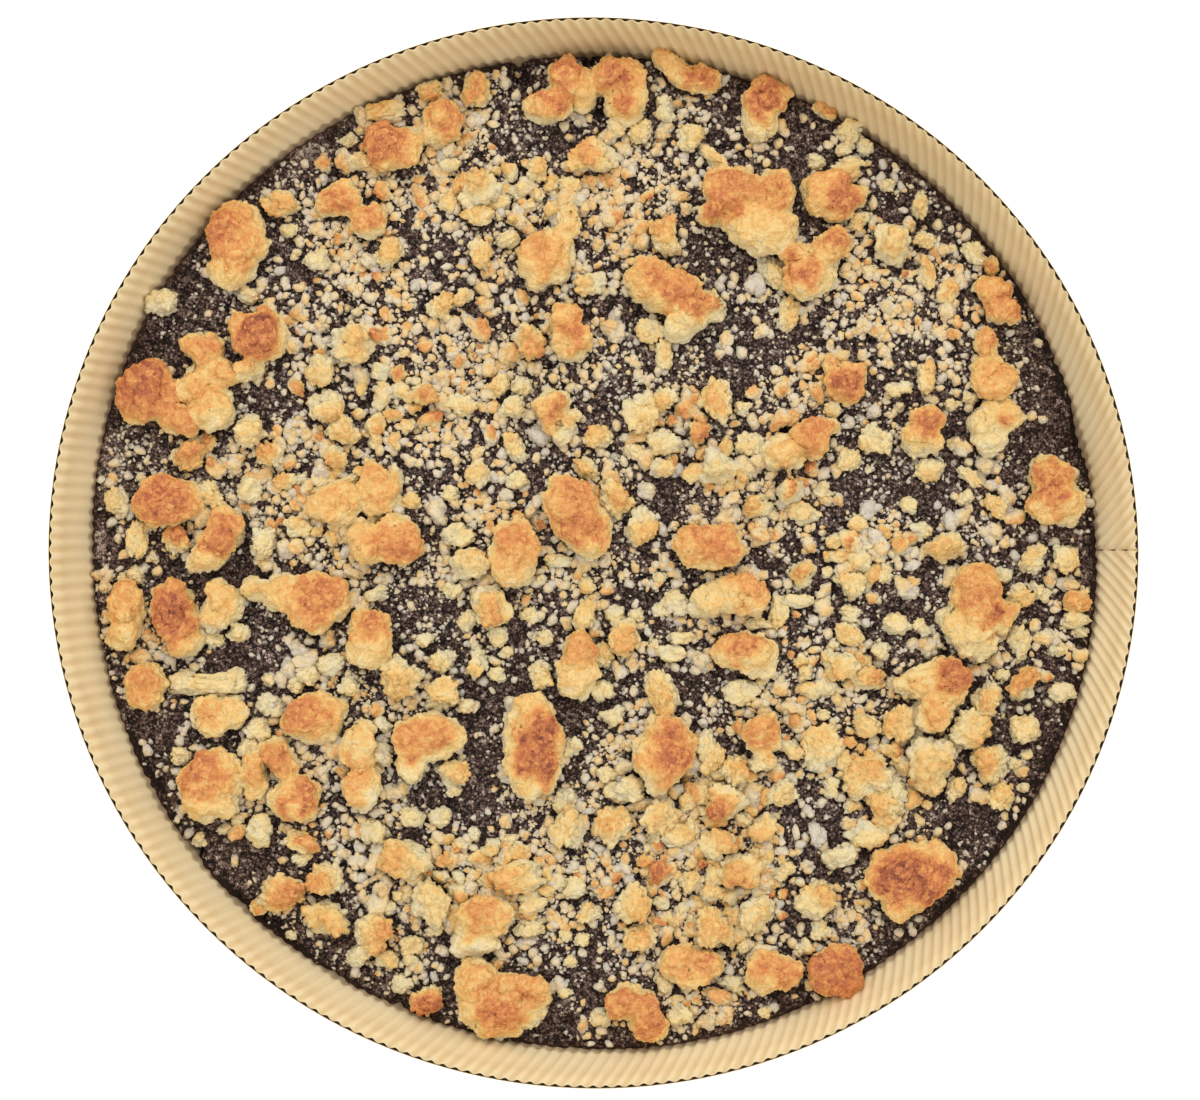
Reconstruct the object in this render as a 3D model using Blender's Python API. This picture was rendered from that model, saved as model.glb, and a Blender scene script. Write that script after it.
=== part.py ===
"""A round poppy seed cake under butter streusel, in the fluted paper case that it was baked in.

Metres, +Z up. The origin lies under the middle of the case, on the table. +X points to the seam in the case's
wall, and seen from above with +Y up every piece of streusel lies as it does in the photograph.
"""
import math
import random
from collections import namedtuple

import bmesh
import bpy
from mathutils import Vector

MM = 0.001

# The case, in millimetres: a wall of corrugated paper that flares outwards, on a flat floor.
CASE_HEIGHT = 46.0
RIM_RADIUS = 140.0
FLOOR_RADIUS = 129.0
WALL = 1.5                # from the smooth outer paper to the crest of a flute
FLUTE_DEPTH = 0.9
FLOOR = 1.5
RIM_OVAL = 1.26           # how much the long half of the rim exceeds the mean radius
OVAL_TURN = math.radians(7.5)
FLUTE_STEPS = 265         # crests and valleys together, on each side of the seam
FLUTE_SLANT = 0.46        # sideways run of a flute for each millimetre down, beside the seam
OUTER_SIDES = 45          # flat faces of the outer wall, on each side of the seam

# The cake, in millimetres. Its edge stands lower here and higher there along the wall.
CAKE_GAP = 0.8            # from the crests of the flutes
MIDDLE_GAP = 2.0          # more for the middle of a lump or crumb
CAKE_SIDES = 48
CAKE_RINGS = (0.30, 0.60, 0.85)
MIDDLE_LEVEL = 28.0
EDGE_LEVEL = 26.6
EDGE_POWER = 4            # how late the top turns from the middle's level to the edge's
SWELL = 0.5               # the top's slow ups and downs
SWELL_X = (31.0, 0.6)     # their length and shift, to the right and away
SWELL_Y = (27.0, -0.4)
EDGE_WAVES = ((1, 0.7, 70), (2, 1.35, -133), (3, 0.4, 136), (4, 0.9, -166), (5, 0.6, -35), (6, 0.55, -143))
TOUCH_GAP = 0.35          # between pieces that touch
STEP = 0.2                # by which a corner is drawn in until its piece is clear
MOST_STEPS = 60

# The photograph looks straight down on the rim, and its pixels place the streusel.
CAMERA_HEIGHT = 580.0     # above the rim, in millimetres
CAMERA_X = 1.7
CAMERA_Y = 0.75
PICTURE_MIDDLE = (600, 550)
RIM_PIXEL = 0.2589        # millimetres to a pixel at the height of the rim
LUMP_DEPTH = 14.0         # of the middle of a large lump, below the rim
CRUMB_DEPTH = 17.0

# One rounded knob of streusel in the photograph: middle, longer and shorter side in pixels, and the turn of
# the longer side in degrees, anticlockwise.
Knob = namedtuple("Knob", "x y long short turn")

# The large lumps, each with its rise above the cake in millimetres and the knobs that it has grown from.
LUMPS = (
    (11, (237, 240, 82, 64, 98), (232, 276, 38, 38, 0)),
    (9, (394, 147, 60, 53, 0)),
    (9, (441, 126, 52, 43, 78)),
    (11, (567, 77, 50, 46, 90), (548, 103, 48, 38, 10), (583, 88, 46, 26, 90)),
    (11, (615, 78, 54, 46, 0), (622, 104, 42, 36, 0), (636, 82, 40, 24, 90)),
    (10, (547, 258, 62, 54, 62), (571, 218, 40, 28, 75), (535, 284, 30, 22, 0)),
    (8, (342, 200, 46, 44, 0), (369, 222, 42, 38, 0)),
    (9, (698, 78, 42, 38, 0), (674, 67, 46, 28, -35)),
    (10, (765, 98, 50, 44, 0), (761, 122, 44, 38, 90)),
    (12, (735, 192, 64, 50, 0), (774, 196, 42, 52, 0), (760, 228, 80, 54, -8), (716, 211, 30, 30, 0)),
    (10, (829, 198, 54, 54, 0), (853, 193, 34, 26, 0)),
    (11, (829, 249, 52, 44, 80), (803, 279, 48, 46, 0), (794, 254, 34, 28, 0), (822, 272, 40, 36, 0)),
    (11, (672, 292, 88, 50, -28), (648, 272, 56, 32, 12), (710, 304, 44, 34, -10), (683, 324, 44, 34, 0)),
    (8, (993, 290, 50, 30, -22), (1004, 308, 40, 36, 0)),
    (9, (990, 343, 36, 30, 90), (996, 375, 50, 46, 90), (988, 419, 44, 40, 20), (1008, 416, 44, 28, 90),
     (993, 441, 42, 32, 0)),
    (9, (928, 421, 34, 34, 0), (922, 440, 44, 38, 0)),
    (11, (1057, 502, 66, 48, 0), (1043, 474, 44, 34, 90), (1064, 483, 42, 40, 0)),
    (11, (259, 336, 60, 56, 0), (240, 322, 30, 22, 90), (248, 368, 32, 24, 0)),
    (9, (203, 350, 46, 42, 0), (189, 378, 36, 32, 60), (222, 372, 36, 34, 0), (212, 408, 48, 44, 20)),
    (11, (146, 392, 66, 58, -15), (178, 421, 46, 34, -25)),
    (10, (165, 500, 74, 56, 0)),
    (10, (226, 533, 50, 38, 30), (203, 555, 46, 34, 35)),
    (8, (337, 502, 56, 50, 0), (377, 490, 52, 44, 90)),
    (9, (568, 317, 36, 34, 0), (573, 338, 44, 38, -70)),
    (9, (552, 402, 38, 36, 0), (558, 424, 40, 32, 90)),
    (12, (577, 517, 94, 54, -63)),
    (10, (396, 541, 58, 52, 90), (372, 545, 46, 44, 0)),
    (10, (514, 552, 70, 55, 90)),
    (9, (814, 435, 46, 44, 0), (786, 456, 42, 38, 0), (790, 487, 32, 28, 0)),
    (9, (849, 382, 44, 42, 0), (834, 364, 26, 16, 110)),
    (10, (706, 549, 66, 54, 0)),
    (9, (120, 605, 52, 42, 90), (124, 632, 36, 36, 0)),
    (11, (171, 613, 70, 50, 90), (180, 645, 36, 30, 0)),
    (8, (217, 605, 54, 40, 100)),
    (9, (144, 685, 54, 48, 90)),
    (8, (216, 716, 61, 41, 5)),
    (11, (316, 600, 68, 66, 0), (285, 594, 58, 40, -20), (260, 588, 34, 18, -15)),
    (9, (371, 637, 58, 54, 90)),
    (10, (315, 718, 66, 56, 0)),
    (9, (360, 744, 62, 40, 90), (362, 790, 54, 40, 90)),
    (11, (211, 778, 68, 54, 0), (208, 804, 54, 44, 0), (254, 775, 46, 28, 90)),
    (9, (280, 760, 48, 34, -60), (294, 797, 56, 46, 20)),
    (11, (430, 738, 78, 52, 8), (414, 765, 46, 34, 90)),
    (12, (533, 746, 108, 64, 88)),
    (9, (579, 665, 62, 46, 85)),
    (9, (736, 595, 68, 46, 5), (708, 599, 40, 38, 0)),
    (9, (747, 651, 74, 46, -18)),
    (12, (667, 752, 84, 54, 80), (645, 757, 50, 36, 90)),
    (9, (763, 735, 46, 44, 90), (762, 760, 34, 30, 0)),
    (12, (975, 598, 68, 62, 90), (966, 622, 60, 54, 0), (1001, 614, 36, 38, 0), (976, 646, 46, 32, 0)),
    (11, (946, 682, 64, 44, 100), (935, 713, 42, 40, 0), (912, 678, 38, 36, 0)),
    (12, (906, 880, 84, 66, 0), (938, 869, 46, 40, 0), (900, 900, 48, 38, 0)),
    (11, (478, 981, 50, 48, 0), (500, 1012, 88, 52, 0), (530, 993, 46, 40, 0)),
    (9, (649, 1017, 58, 36, 90), (628, 1001, 42, 36, 0)),
    (9, (691, 965, 62, 50, -10)),
    (9, (774, 973, 62, 44, 0)),
    (10, (836, 972, 58, 54, -20)),
    (9, (484, 920, 64, 42, 0), (478, 945, 48, 26, 0)),
)

# The smaller lumps, baked onto the cake: the larger ones first.
CRUMBS = (
    (476, 92, 40, 34, 80), (595, 157, 55, 37, 8), (890, 245, 44, 42, 0), (665, 234, 44, 34, 90),
    (926, 376, 37, 24, 85), (946, 547, 40, 38, 0), (189, 456, 44, 34, 40), (357, 345, 52, 42, 0),
    (328, 408, 42, 38, 90), (344, 430, 36, 32, -30), (529, 343, 43, 38, 0), (613, 500, 40, 36, -60),
    (643, 526, 48, 30, 88), (470, 563, 42, 40, 0), (640, 414, 50, 38, 90), (718, 400, 48, 36, 90),
    (876, 441, 37, 34, 90), (402, 676, 48, 46, 0), (492, 606, 48, 44, 80), (624, 638, 40, 38, 0),
    (605, 656, 30, 28, 0), (710, 752, 44, 30, 100), (735, 768, 34, 34, 0), (725, 804, 46, 42, 0),
    (822, 749, 52, 44, 60), (866, 776, 58, 40, 20), (887, 798, 44, 40, 0), (1021, 684, 50, 34, 60),
    (986, 698, 40, 32, -45), (970, 727, 44, 40, 0), (985, 763, 44, 40, 0), (930, 761, 62, 54, 90),
    (899, 722, 44, 34, 90), (427, 1001, 35, 34, 0), (817, 897, 46, 44, 0), (405, 858, 54, 44, 0),
    (431, 903, 56, 42, 90), (517, 876, 60, 36, 10), (330, 918, 54, 38, 0), (283, 891, 56, 40, 10),
    (326, 878, 38, 38, 0), (374, 931, 44, 42, 0), (637, 901, 46, 38, 90), (640, 936, 36, 34, 0),
    (740, 870, 48, 42, 0), (661, 818, 46, 42, 90), (714, 925, 46, 38, 90), (755, 914, 42, 38, 60),
    (612, 822, 46, 36, 80), (567, 828, 52, 34, 90), (663, 690, 58, 36, -80), (282, 205, 41, 30, 0),
    (165, 304, 38, 32, 30), (250, 432, 45, 34, 0), (271, 455, 30, 28, 0), (285, 481, 28, 22, 0),
    (207, 444, 28, 20, 90), (385, 112, 47, 25, 5), (430, 91, 26, 24, 0), (360, 163, 28, 26, 0),
    (390, 254, 38, 30, -30), (481, 254, 32, 26, -70), (480, 190, 48, 40, 60), (478, 217, 34, 24, 0),
    (508, 240, 28, 22, 0), (537, 170, 26, 24, 0), (572, 185, 26, 22, 0), (640, 133, 26, 26, 0),
    (664, 109, 30, 26, -40), (691, 138, 30, 30, 0), (713, 158, 38, 22, -40), (825, 112, 28, 22, -30),
    (848, 132, 30, 24, 0), (847, 168, 34, 24, 0), (858, 222, 26, 20, 0), (772, 275, 42, 24, -60),
    (788, 314, 34, 26, 90), (591, 284, 34, 30, 0), (440, 306, 30, 28, 0), (649, 331, 30, 28, 0),
    (664, 354, 32, 22, 90), (928, 272, 36, 18, 95), (949, 292, 30, 26, 30), (974, 253, 30, 24, -40),
    (991, 265, 26, 18, 110), (920, 206, 30, 20, 90), (321, 371, 36, 30, 90), (336, 458, 30, 26, 0),
    (424, 395, 32, 28, 0), (463, 406, 36, 24, -15), (497, 387, 30, 26, 60), (512, 407, 28, 26, 0),
    (597, 437, 38, 28, -25), (514, 448, 34, 22, -60), (478, 474, 38, 24, 65), (588, 468, 32, 22, -50),
    (663, 441, 34, 30, 0), (661, 468, 30, 24, 0), (698, 434, 32, 28, 60), (664, 399, 28, 26, 0),
    (750, 444, 32, 26, -20), (757, 506, 38, 24, 10), (802, 513, 36, 26, 0), (848, 459, 30, 22, 60),
    (930, 470, 36, 24, 0), (970, 476, 38, 18, -40), (997, 506, 32, 20, -60), (1032, 557, 36, 24, 65),
    (1067, 559, 34, 28, 90), (1076, 600, 30, 28, 0), (1021, 595, 30, 26, 0), (1020, 642, 40, 26, 80),
    (1023, 728, 36, 28, 90), (1000, 797, 32, 28, -50), (954, 788, 30, 20, 70), (803, 574, 32, 28, 90),
    (852, 584, 30, 26, 0), (850, 634, 34, 24, -30), (840, 666, 40, 34, 0), (867, 677, 34, 30, 0),
    (867, 726, 34, 30, 0), (780, 612, 42, 22, 80), (265, 543, 36, 32, 0), (298, 527, 32, 24, 0),
    (212, 494, 34, 26, -40), (116, 502, 36, 26, -60), (137, 540, 44, 24, 95), (175, 539, 34, 28, 90),
    (209, 684, 76, 28, 0), (443, 692, 38, 32, 45), (442, 661, 30, 26, 0), (477, 664, 32, 24, 90),
    (540, 675, 34, 28, 0), (454, 772, 36, 26, 0), (585, 616, 36, 28, 70), (884, 820, 32, 28, 0),
    (782, 792, 36, 28, 30), (303, 843, 42, 26, -15),
)

# Every lump's outline is followed by rays, smoothed, and given corners at even steps. Butter crumbs look
# knobbly, so each corner then moves a little, by a seeded rule.
RAYS = 72
SMOOTHINGS = 3
LUMP_CORNER_STEP = 5.0
CRUMB_CORNER_STEP = 5.0
FEWEST_LUMP_CORNERS = 10
FEWEST_CRUMB_CORNERS = 5
SEED = 11
CORNER_SHIFT = 0.06
RISE_SHIFT = 0.06
TOP_SHIFT = 0.5
TALL_PROFILE = ((0.90, 0.0), (1.0, 0.30), (0.80, 0.74), (0.42, 0.97))
LUMP_PROFILE = ((0.92, 0.0), (1.0, 0.34), (0.66, 0.88))
TALL_RISE = 11            # from which a lump is modelled with one more row of corners
CRUMB_PROFILE = ((1.0, 0.22), (0.66, 0.84))
CRUMB_SINK = 2.5          # how deep the pointed foot of a fused crumb stands in the cake
CRUMB_RISE = 0.52         # of its shorter side
CRUMB_CLEARANCE = 1.2     # a crumb whose middle is nearer than this to a lump is left out
CRUMB_CORE = 1.0          # no corner of a crumb is drawn in nearer to its middle than this


def srgb(red, green, blue):
    """A display colour of 0 to 255 as the linear value that a shader takes."""
    parts = [channel / 255 for channel in (red, green, blue)]
    linear = [p / 12.92 if p <= 0.04045 else ((p + 0.055) / 1.055) ** 2.4 for p in parts]
    return (*linear, 1.0)


def material(name, colour, roughness):
    """A plain finish with no metal in it."""
    finish = bpy.data.materials.new(name)
    finish.use_nodes = True
    shader = finish.node_tree.nodes["Principled BSDF"]
    shader.inputs["Base Color"].default_value = colour
    shader.inputs["Roughness"].default_value = roughness
    shader.inputs["Metallic"].default_value = 0.0
    return finish


def add_object(name, bm, finish):
    """Turns a bmesh, worked in millimetres, into a named object in metres."""
    bmesh.ops.scale(bm, vec=(MM, MM, MM), verts=bm.verts)
    bmesh.ops.recalc_face_normals(bm, faces=bm.faces)
    mesh = bpy.data.meshes.new(name)
    bm.to_mesh(mesh)
    bm.free()
    mesh.materials.append(finish)
    mesh.shade_smooth()
    mesh.set_sharp_from_angle(angle=math.radians(50))
    piece = bpy.data.objects.new(name, mesh)
    bpy.context.scene.collection.objects.link(piece)
    return piece


def outer_radius(height):
    """Mean radius of the case's outer face at a height."""
    return FLOOR_RADIUS + (RIM_RADIUS - FLOOR_RADIUS) * height / CASE_HEIGHT


def stretch(angle):
    """The case is a little oval, long side nearly along X, and the cake in it is too."""
    return 1 + RIM_OVAL / RIM_RADIUS * math.cos(2 * (angle + OVAL_TURN))


def flute_end(step):
    """Where one crest or valley line of the wall ends: its turn from the far side, and its height.

    The lines lean towards the seam, more so near it, and those that reach it are cut off there.
    """
    turn = math.pi * step / FLUTE_STEPS
    run = FLUTE_SLANT * math.sin(turn / 2)
    low_turn = turn + run * (CASE_HEIGHT - FLOOR) / outer_radius(FLOOR)
    if low_turn <= math.pi:
        return low_turn, FLOOR
    flare = (RIM_RADIUS - FLOOR_RADIUS) / CASE_HEIGHT
    rest = math.pi - turn
    return math.pi, CASE_HEIGHT - rest * RIM_RADIUS / (run + rest * flare)


def flute_inset(step):
    """How far inside the outer face a line runs: crests and valleys by turns."""
    return WALL - FLUTE_DEPTH * (step % 2)


def stitch(bm, inner, inner_turns, outer, outer_turns):
    """Fills the strip between two rows of corners that both run from the far side to the seam."""
    i = 0
    j = 0
    while i < len(inner) - 1 or j < len(outer) - 1:
        if j == len(outer) - 1 or (i < len(inner) - 1 and inner_turns[i + 1] <= outer_turns[j + 1]):
            bm.faces.new((inner[i], inner[i + 1], outer[j]))
            i += 1
        else:
            bm.faces.new((outer[j], inner[i], outer[j + 1]))
            j += 1


def make_case(finish):
    """The half of the case at +Y, mirrored at the seam: fluted inside, smooth outside, flat below."""
    bm = bmesh.new()

    def corner(turn, height, inset):
        radius = outer_radius(height) - inset
        angle = math.pi - turn
        return bm.verts.new((radius * math.cos(angle), radius * math.sin(angle), height))

    steps = range(FLUTE_STEPS + 1)
    turns = [math.pi * step / FLUTE_STEPS for step in steps]
    tops = [corner(turns[step], CASE_HEIGHT, flute_inset(step)) for step in steps]
    ends = [flute_end(step) for step in steps]
    lows = [corner(*ends[step], flute_inset(step)) for step in steps[:-1]] + [tops[-1]]
    last = max(step for step in steps if ends[step][1] == FLOOR)
    seam_foot = corner(math.pi, FLOOR, WALL - FLUTE_DEPTH / 2)
    for step in steps[:-1]:
        face = [tops[step], tops[step + 1], lows[step + 1], lows[step]]
        if step == last:
            face.insert(3, seam_foot)
        bm.faces.new(dict.fromkeys(face))

    floor_middle = bm.verts.new((0, 0, FLOOR))
    floor_row = lows[:last + 1] + [seam_foot]
    for here, there in zip(floor_row, floor_row[1:]):
        bm.faces.new((floor_middle, here, there))

    outer_turns = [math.pi * side / OUTER_SIDES for side in range(OUTER_SIDES + 1)]
    rim_row = [corner(turn, CASE_HEIGHT, 0) for turn in outer_turns]
    foot_row = [corner(turn, 0, 0) for turn in outer_turns]
    stitch(bm, tops, turns, rim_row, outer_turns)
    foot_middle = bm.verts.new((0, 0, 0))
    for side in range(OUTER_SIDES):
        bm.faces.new((rim_row[side], rim_row[side + 1], foot_row[side + 1], foot_row[side]))
        bm.faces.new((foot_middle, foot_row[side], foot_row[side + 1]))

    bmesh.ops.mirror(bm, geom=bm.verts[:] + bm.edges[:] + bm.faces[:], axis="Y", merge_dist=1e-4)
    for vert in bm.verts:
        factor = stretch(math.atan2(vert.co.y, vert.co.x))
        vert.co.x *= factor
        vert.co.y *= factor
    bmesh.ops.triangulate(bm, faces=bm.faces)
    return add_object("paper_case", bm, finish)


def edge_level(angle):
    """Height of the cake where it meets the wall."""
    return EDGE_LEVEL + sum(rise * math.cos(count * angle - math.radians(phase))
                            for count, rise, phase in EDGE_WAVES)


def cake_radius(angle, height):
    """Radius of the cake's side, just clear of the flutes."""
    return (outer_radius(height) - WALL - CAKE_GAP) * stretch(angle)


def cake_level(x, y):
    """Height of the bare cake: level in the middle, then falling or rising to meet the wall."""
    angle = math.atan2(y, x)
    share = math.hypot(x, y) / cake_radius(angle, EDGE_LEVEL)
    swell = SWELL * math.sin(x / SWELL_X[0] + SWELL_X[1]) * math.cos(y / SWELL_Y[0] + SWELL_Y[1])
    blend = min(share, 1.0) ** EDGE_POWER
    return (MIDDLE_LEVEL + swell) * (1 - blend) + edge_level(angle) * blend


def make_cake(finish):
    """The bare cake: an uneven top, a side that follows the wall, and a flat bottom just above the floor."""
    bm = bmesh.new()
    angles = [math.tau * side / CAKE_SIDES for side in range(CAKE_SIDES)]
    rows = []
    for share in CAKE_RINGS:
        row = []
        for angle in angles:
            radius = share * cake_radius(angle, EDGE_LEVEL)
            x = radius * math.cos(angle)
            y = radius * math.sin(angle)
            row.append(bm.verts.new((x, y, cake_level(x, y))))
        rows.append(row)
    bottom = FLOOR + TOUCH_GAP
    for height in (edge_level, lambda angle: bottom):
        row = []
        for angle in angles:
            radius = cake_radius(angle, height(angle))
            row.append(bm.verts.new((radius * math.cos(angle), radius * math.sin(angle), height(angle))))
        rows.append(row)
    middle = bm.verts.new((0, 0, cake_level(0, 0)))
    foot_middle = bm.verts.new((0, 0, bottom))
    for side in range(CAKE_SIDES):
        after = (side + 1) % CAKE_SIDES
        bm.faces.new((middle, rows[0][side], rows[0][after]))
        bm.faces.new((foot_middle, rows[-1][after], rows[-1][side]))
        for inner, outer in zip(rows, rows[1:]):
            bm.faces.new((inner[side], outer[side], outer[after], inner[after]))
    bmesh.ops.triangulate(bm, faces=bm.faces)
    return add_object("poppy_cake", bm, finish)


def place(knob, depth):
    """A knob's middle, half sides and turn on the cake, in millimetres, from its place in the photograph."""
    knob = Knob(*knob)
    pixel = RIM_PIXEL * (1 + depth / CAMERA_HEIGHT)
    x = CAMERA_X + (knob.x - PICTURE_MIDDLE[0]) * pixel
    y = CAMERA_Y - (knob.y - PICTURE_MIDDLE[1]) * pixel
    return x, y, knob.long * pixel / 2, knob.short * pixel / 2, math.radians(knob.turn)


def reach(knob, middle, angle):
    """How far a ray from the lump's middle runs before it leaves this knob for good, or 0 if it misses."""
    x, y, half_long, half_short, turn = knob
    dx = middle[0] - x
    dy = middle[1] - y
    along = dx * math.cos(turn) + dy * math.sin(turn)
    across = dy * math.cos(turn) - dx * math.sin(turn)
    ray_along = math.cos(angle - turn) / half_long
    ray_across = math.sin(angle - turn) / half_short
    along /= half_long
    across /= half_short
    a = ray_along ** 2 + ray_across ** 2
    b = along * ray_along + across * ray_across
    c = along ** 2 + across ** 2 - 1
    inside = b * b - a * c
    return (math.sqrt(inside) - b) / a if inside > 0 else 0.0


def outline(knobs, step, fewest, draw):
    """The lump's outline seen from above: its middle, and corners round it on the knobs' outer edge."""
    weight = sum(knob[2] * knob[3] for knob in knobs)
    middle = Vector([sum(knob[axis] * knob[2] * knob[3] for knob in knobs) / weight for axis in (0, 1)])
    first = draw.uniform(0, math.tau)
    angles = [first + math.tau * ray / RAYS for ray in range(RAYS)]
    radii = [max(reach(knob, middle, angle) for knob in knobs) for angle in angles]
    for _ in range(SMOOTHINGS):
        radii = [(radii[ray - 1] + radii[ray] + radii[(ray + 1) % RAYS]) / 3 for ray in range(RAYS)]
    ways = [Vector((math.cos(angle), math.sin(angle))) for angle in angles]
    track = [middle + radius * way for way, radius in zip(ways, radii)]
    lengths = [(there - here).length for here, there in zip(track, track[1:] + track[:1])]
    corners = max(fewest, round(sum(lengths) / step))
    points = []
    travelled = 0.0
    for here, length in zip(track, lengths):
        if travelled >= len(points) * sum(lengths) / corners and len(points) < corners:
            points.append(middle + (here - middle) * (1 + draw.uniform(-CORNER_SHIFT, CORNER_SHIFT)))
        travelled += length
    return middle, points


def clearance(point, points):
    """Distance from a point to an outline, negative inside it."""
    nearest = math.inf
    inside = False
    for here, there in zip(points, points[1:] + points[:1]):
        side = there - here
        share = min(1.0, max(0.0, (point - here).dot(side) / side.length_squared))
        nearest = min(nearest, (point - here - share * side).length)
        if (here.y > point.y) != (there.y > point.y):
            if point.x < here.x + side.x * (point.y - here.y) / side.y:
                inside = not inside
    return -nearest if inside else nearest


def keep_in_case(middle, points, sink):
    """Draws in what would touch the wall, seen where a piece reaches deepest into the cake's edge."""
    for point in (middle, *points):
        angle = math.atan2(point.y, point.x)
        limit = cake_radius(angle, edge_level(angle) - sink)
        if point is middle:
            limit -= MIDDLE_GAP
        if point.length > limit:
            point *= limit / point.length


def draw_apart(lumps):
    """Draws the outlines of neighbouring lumps in, step by step, until none touches another."""
    reaches = [max((point - middle).length for point in points) for middle, points in lumps]
    pairs = []
    for i, (middle, points) in enumerate(lumps):
        for j, (other_middle, other_points) in enumerate(lumps):
            if i != j and (middle - other_middle).length < reaches[i] + reaches[j] + TOUCH_GAP:
                pairs.append((middle, points, other_middle, other_points, reaches[j] + TOUCH_GAP))
    for _ in range(MOST_STEPS):
        moved = False
        for middle, points, other_middle, other_points, far in pairs:
            for point in points:
                if (point - other_middle).length < far and clearance(point, other_points) < TOUCH_GAP:
                    point += (middle - point).normalized() * STEP
                    moved = True
        if not moved:
            break


def make_dome(name, middle, points, levels, rise, sink, profile, draw, finish):
    """A lump over its outline: rows of corners that follow the profile, a top off the middle, and a foot."""
    bm = bmesh.new()
    rows = []
    for share, height in profile:
        row = []
        for point, level in zip(points, levels):
            spot = middle + (point - middle) * share
            lift = height * rise
            if height > 0:
                lift *= 1 + draw.uniform(-RISE_SHIFT, RISE_SHIFT)
            row.append(bm.verts.new((spot.x, spot.y, level + lift)))
        rows.append(row)
    ground = sum(levels) / len(levels)
    shift = Vector((draw.uniform(-TOP_SHIFT, TOP_SHIFT), draw.uniform(-TOP_SHIFT, TOP_SHIFT)))
    top = bm.verts.new((middle.x + shift.x, middle.y + shift.y, ground + rise))
    foot = bm.verts.new((middle.x, middle.y, ground - sink))
    count = len(points)
    for side in range(count):
        after = (side + 1) % count
        bm.faces.new((foot, rows[0][after], rows[0][side]))
        bm.faces.new((top, rows[-1][side], rows[-1][after]))
        for lower, upper in zip(rows, rows[1:]):
            bm.faces.new((lower[side], lower[after], upper[after], upper[side]))
    bmesh.ops.triangulate(bm, faces=bm.faces)
    return add_object(name, bm, finish)


def make_lumps(draw, finish):
    """Every large lump, drawn clear of the wall and of its neighbours. Returns their outlines."""
    shapes = []
    for _, *knobs in LUMPS:
        spots = [place(knob, LUMP_DEPTH) for knob in knobs]
        middle, points = outline(spots, LUMP_CORNER_STEP, FEWEST_LUMP_CORNERS, draw)
        keep_in_case(middle, points, 0)
        shapes.append((middle, points))
    draw_apart(shapes)
    for number, ((rise, *_), (middle, points)) in enumerate(zip(LUMPS, shapes), start=1):
        levels = [cake_level(point.x, point.y) + TOUCH_GAP for point in points]
        profile = TALL_PROFILE if rise >= TALL_RISE else LUMP_PROFILE
        make_dome(f"streusel_{number:02d}", middle, points, levels, rise, 0, profile, draw, finish)
    return shapes


def fuse_crumbs(cake, lumps, draw, finish):
    """Joins the smaller lumps to the cake in one union, each shrunk or left out where a large lump lies."""
    group = bpy.data.collections.new("crumbs")
    for number, knob in enumerate(CRUMBS, start=1):
        spot = place(knob, CRUMB_DEPTH)
        middle, points = outline([spot], CRUMB_CORNER_STEP, FEWEST_CRUMB_CORNERS, draw)
        keep_in_case(middle, points, CRUMB_SINK)
        if any(clearance(middle, others) < CRUMB_CLEARANCE for _, others in lumps):
            continue
        for _, others in lumps:
            for point in points:
                while clearance(point, others) < TOUCH_GAP and (point - middle).length > CRUMB_CORE:
                    point += (middle - point).normalized() * STEP
        levels = [cake_level(point.x, point.y) for point in points]
        rise = 2 * CRUMB_RISE * spot[3]
        name = f"crumb_{number:03d}"
        crumb = make_dome(name, middle, points, levels, rise, CRUMB_SINK, CRUMB_PROFILE, draw, finish)
        bpy.context.scene.collection.objects.unlink(crumb)
        group.objects.link(crumb)
    union = cake.modifiers.new("Crumbs", "BOOLEAN")
    union.operation = "UNION"
    union.operand_type = "COLLECTION"
    union.collection = group
    union.solver = "EXACT"
    joined = bpy.data.meshes.new_from_object(cake.evaluated_get(bpy.context.evaluated_depsgraph_get()))
    cake.modifiers.remove(union)
    cake.data = joined
    for crumb in list(group.objects):
        bpy.data.objects.remove(crumb)
    bpy.data.collections.remove(group)


for leftover in list(bpy.data.objects):
    bpy.data.objects.remove(leftover)

draw = random.Random(SEED)
paper = material("brown_paper", srgb(222, 190, 134), 0.85)
poppy = material("poppy_filling", srgb(74, 62, 70), 0.7)
butter = material("baked_streusel", srgb(226, 172, 104), 0.8)
make_case(paper)
cake_piece = make_cake(poppy)
lump_shapes = make_lumps(draw, butter)
fuse_crumbs(cake_piece, lump_shapes, draw, poppy)
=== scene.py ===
"""Looks of a round poppy seed cake under butter streusel, in the fluted paper case that it was baked in.

Metres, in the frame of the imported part: +Z up, the origin under the middle of the case, +X towards the seam
in its wall. Sizes are worked out in millimetres and turned into metres as each piece is added.
"""

import math
import random

import bmesh
import bpy
import numpy
from mathutils import Euler, Matrix, Vector, noise


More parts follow.
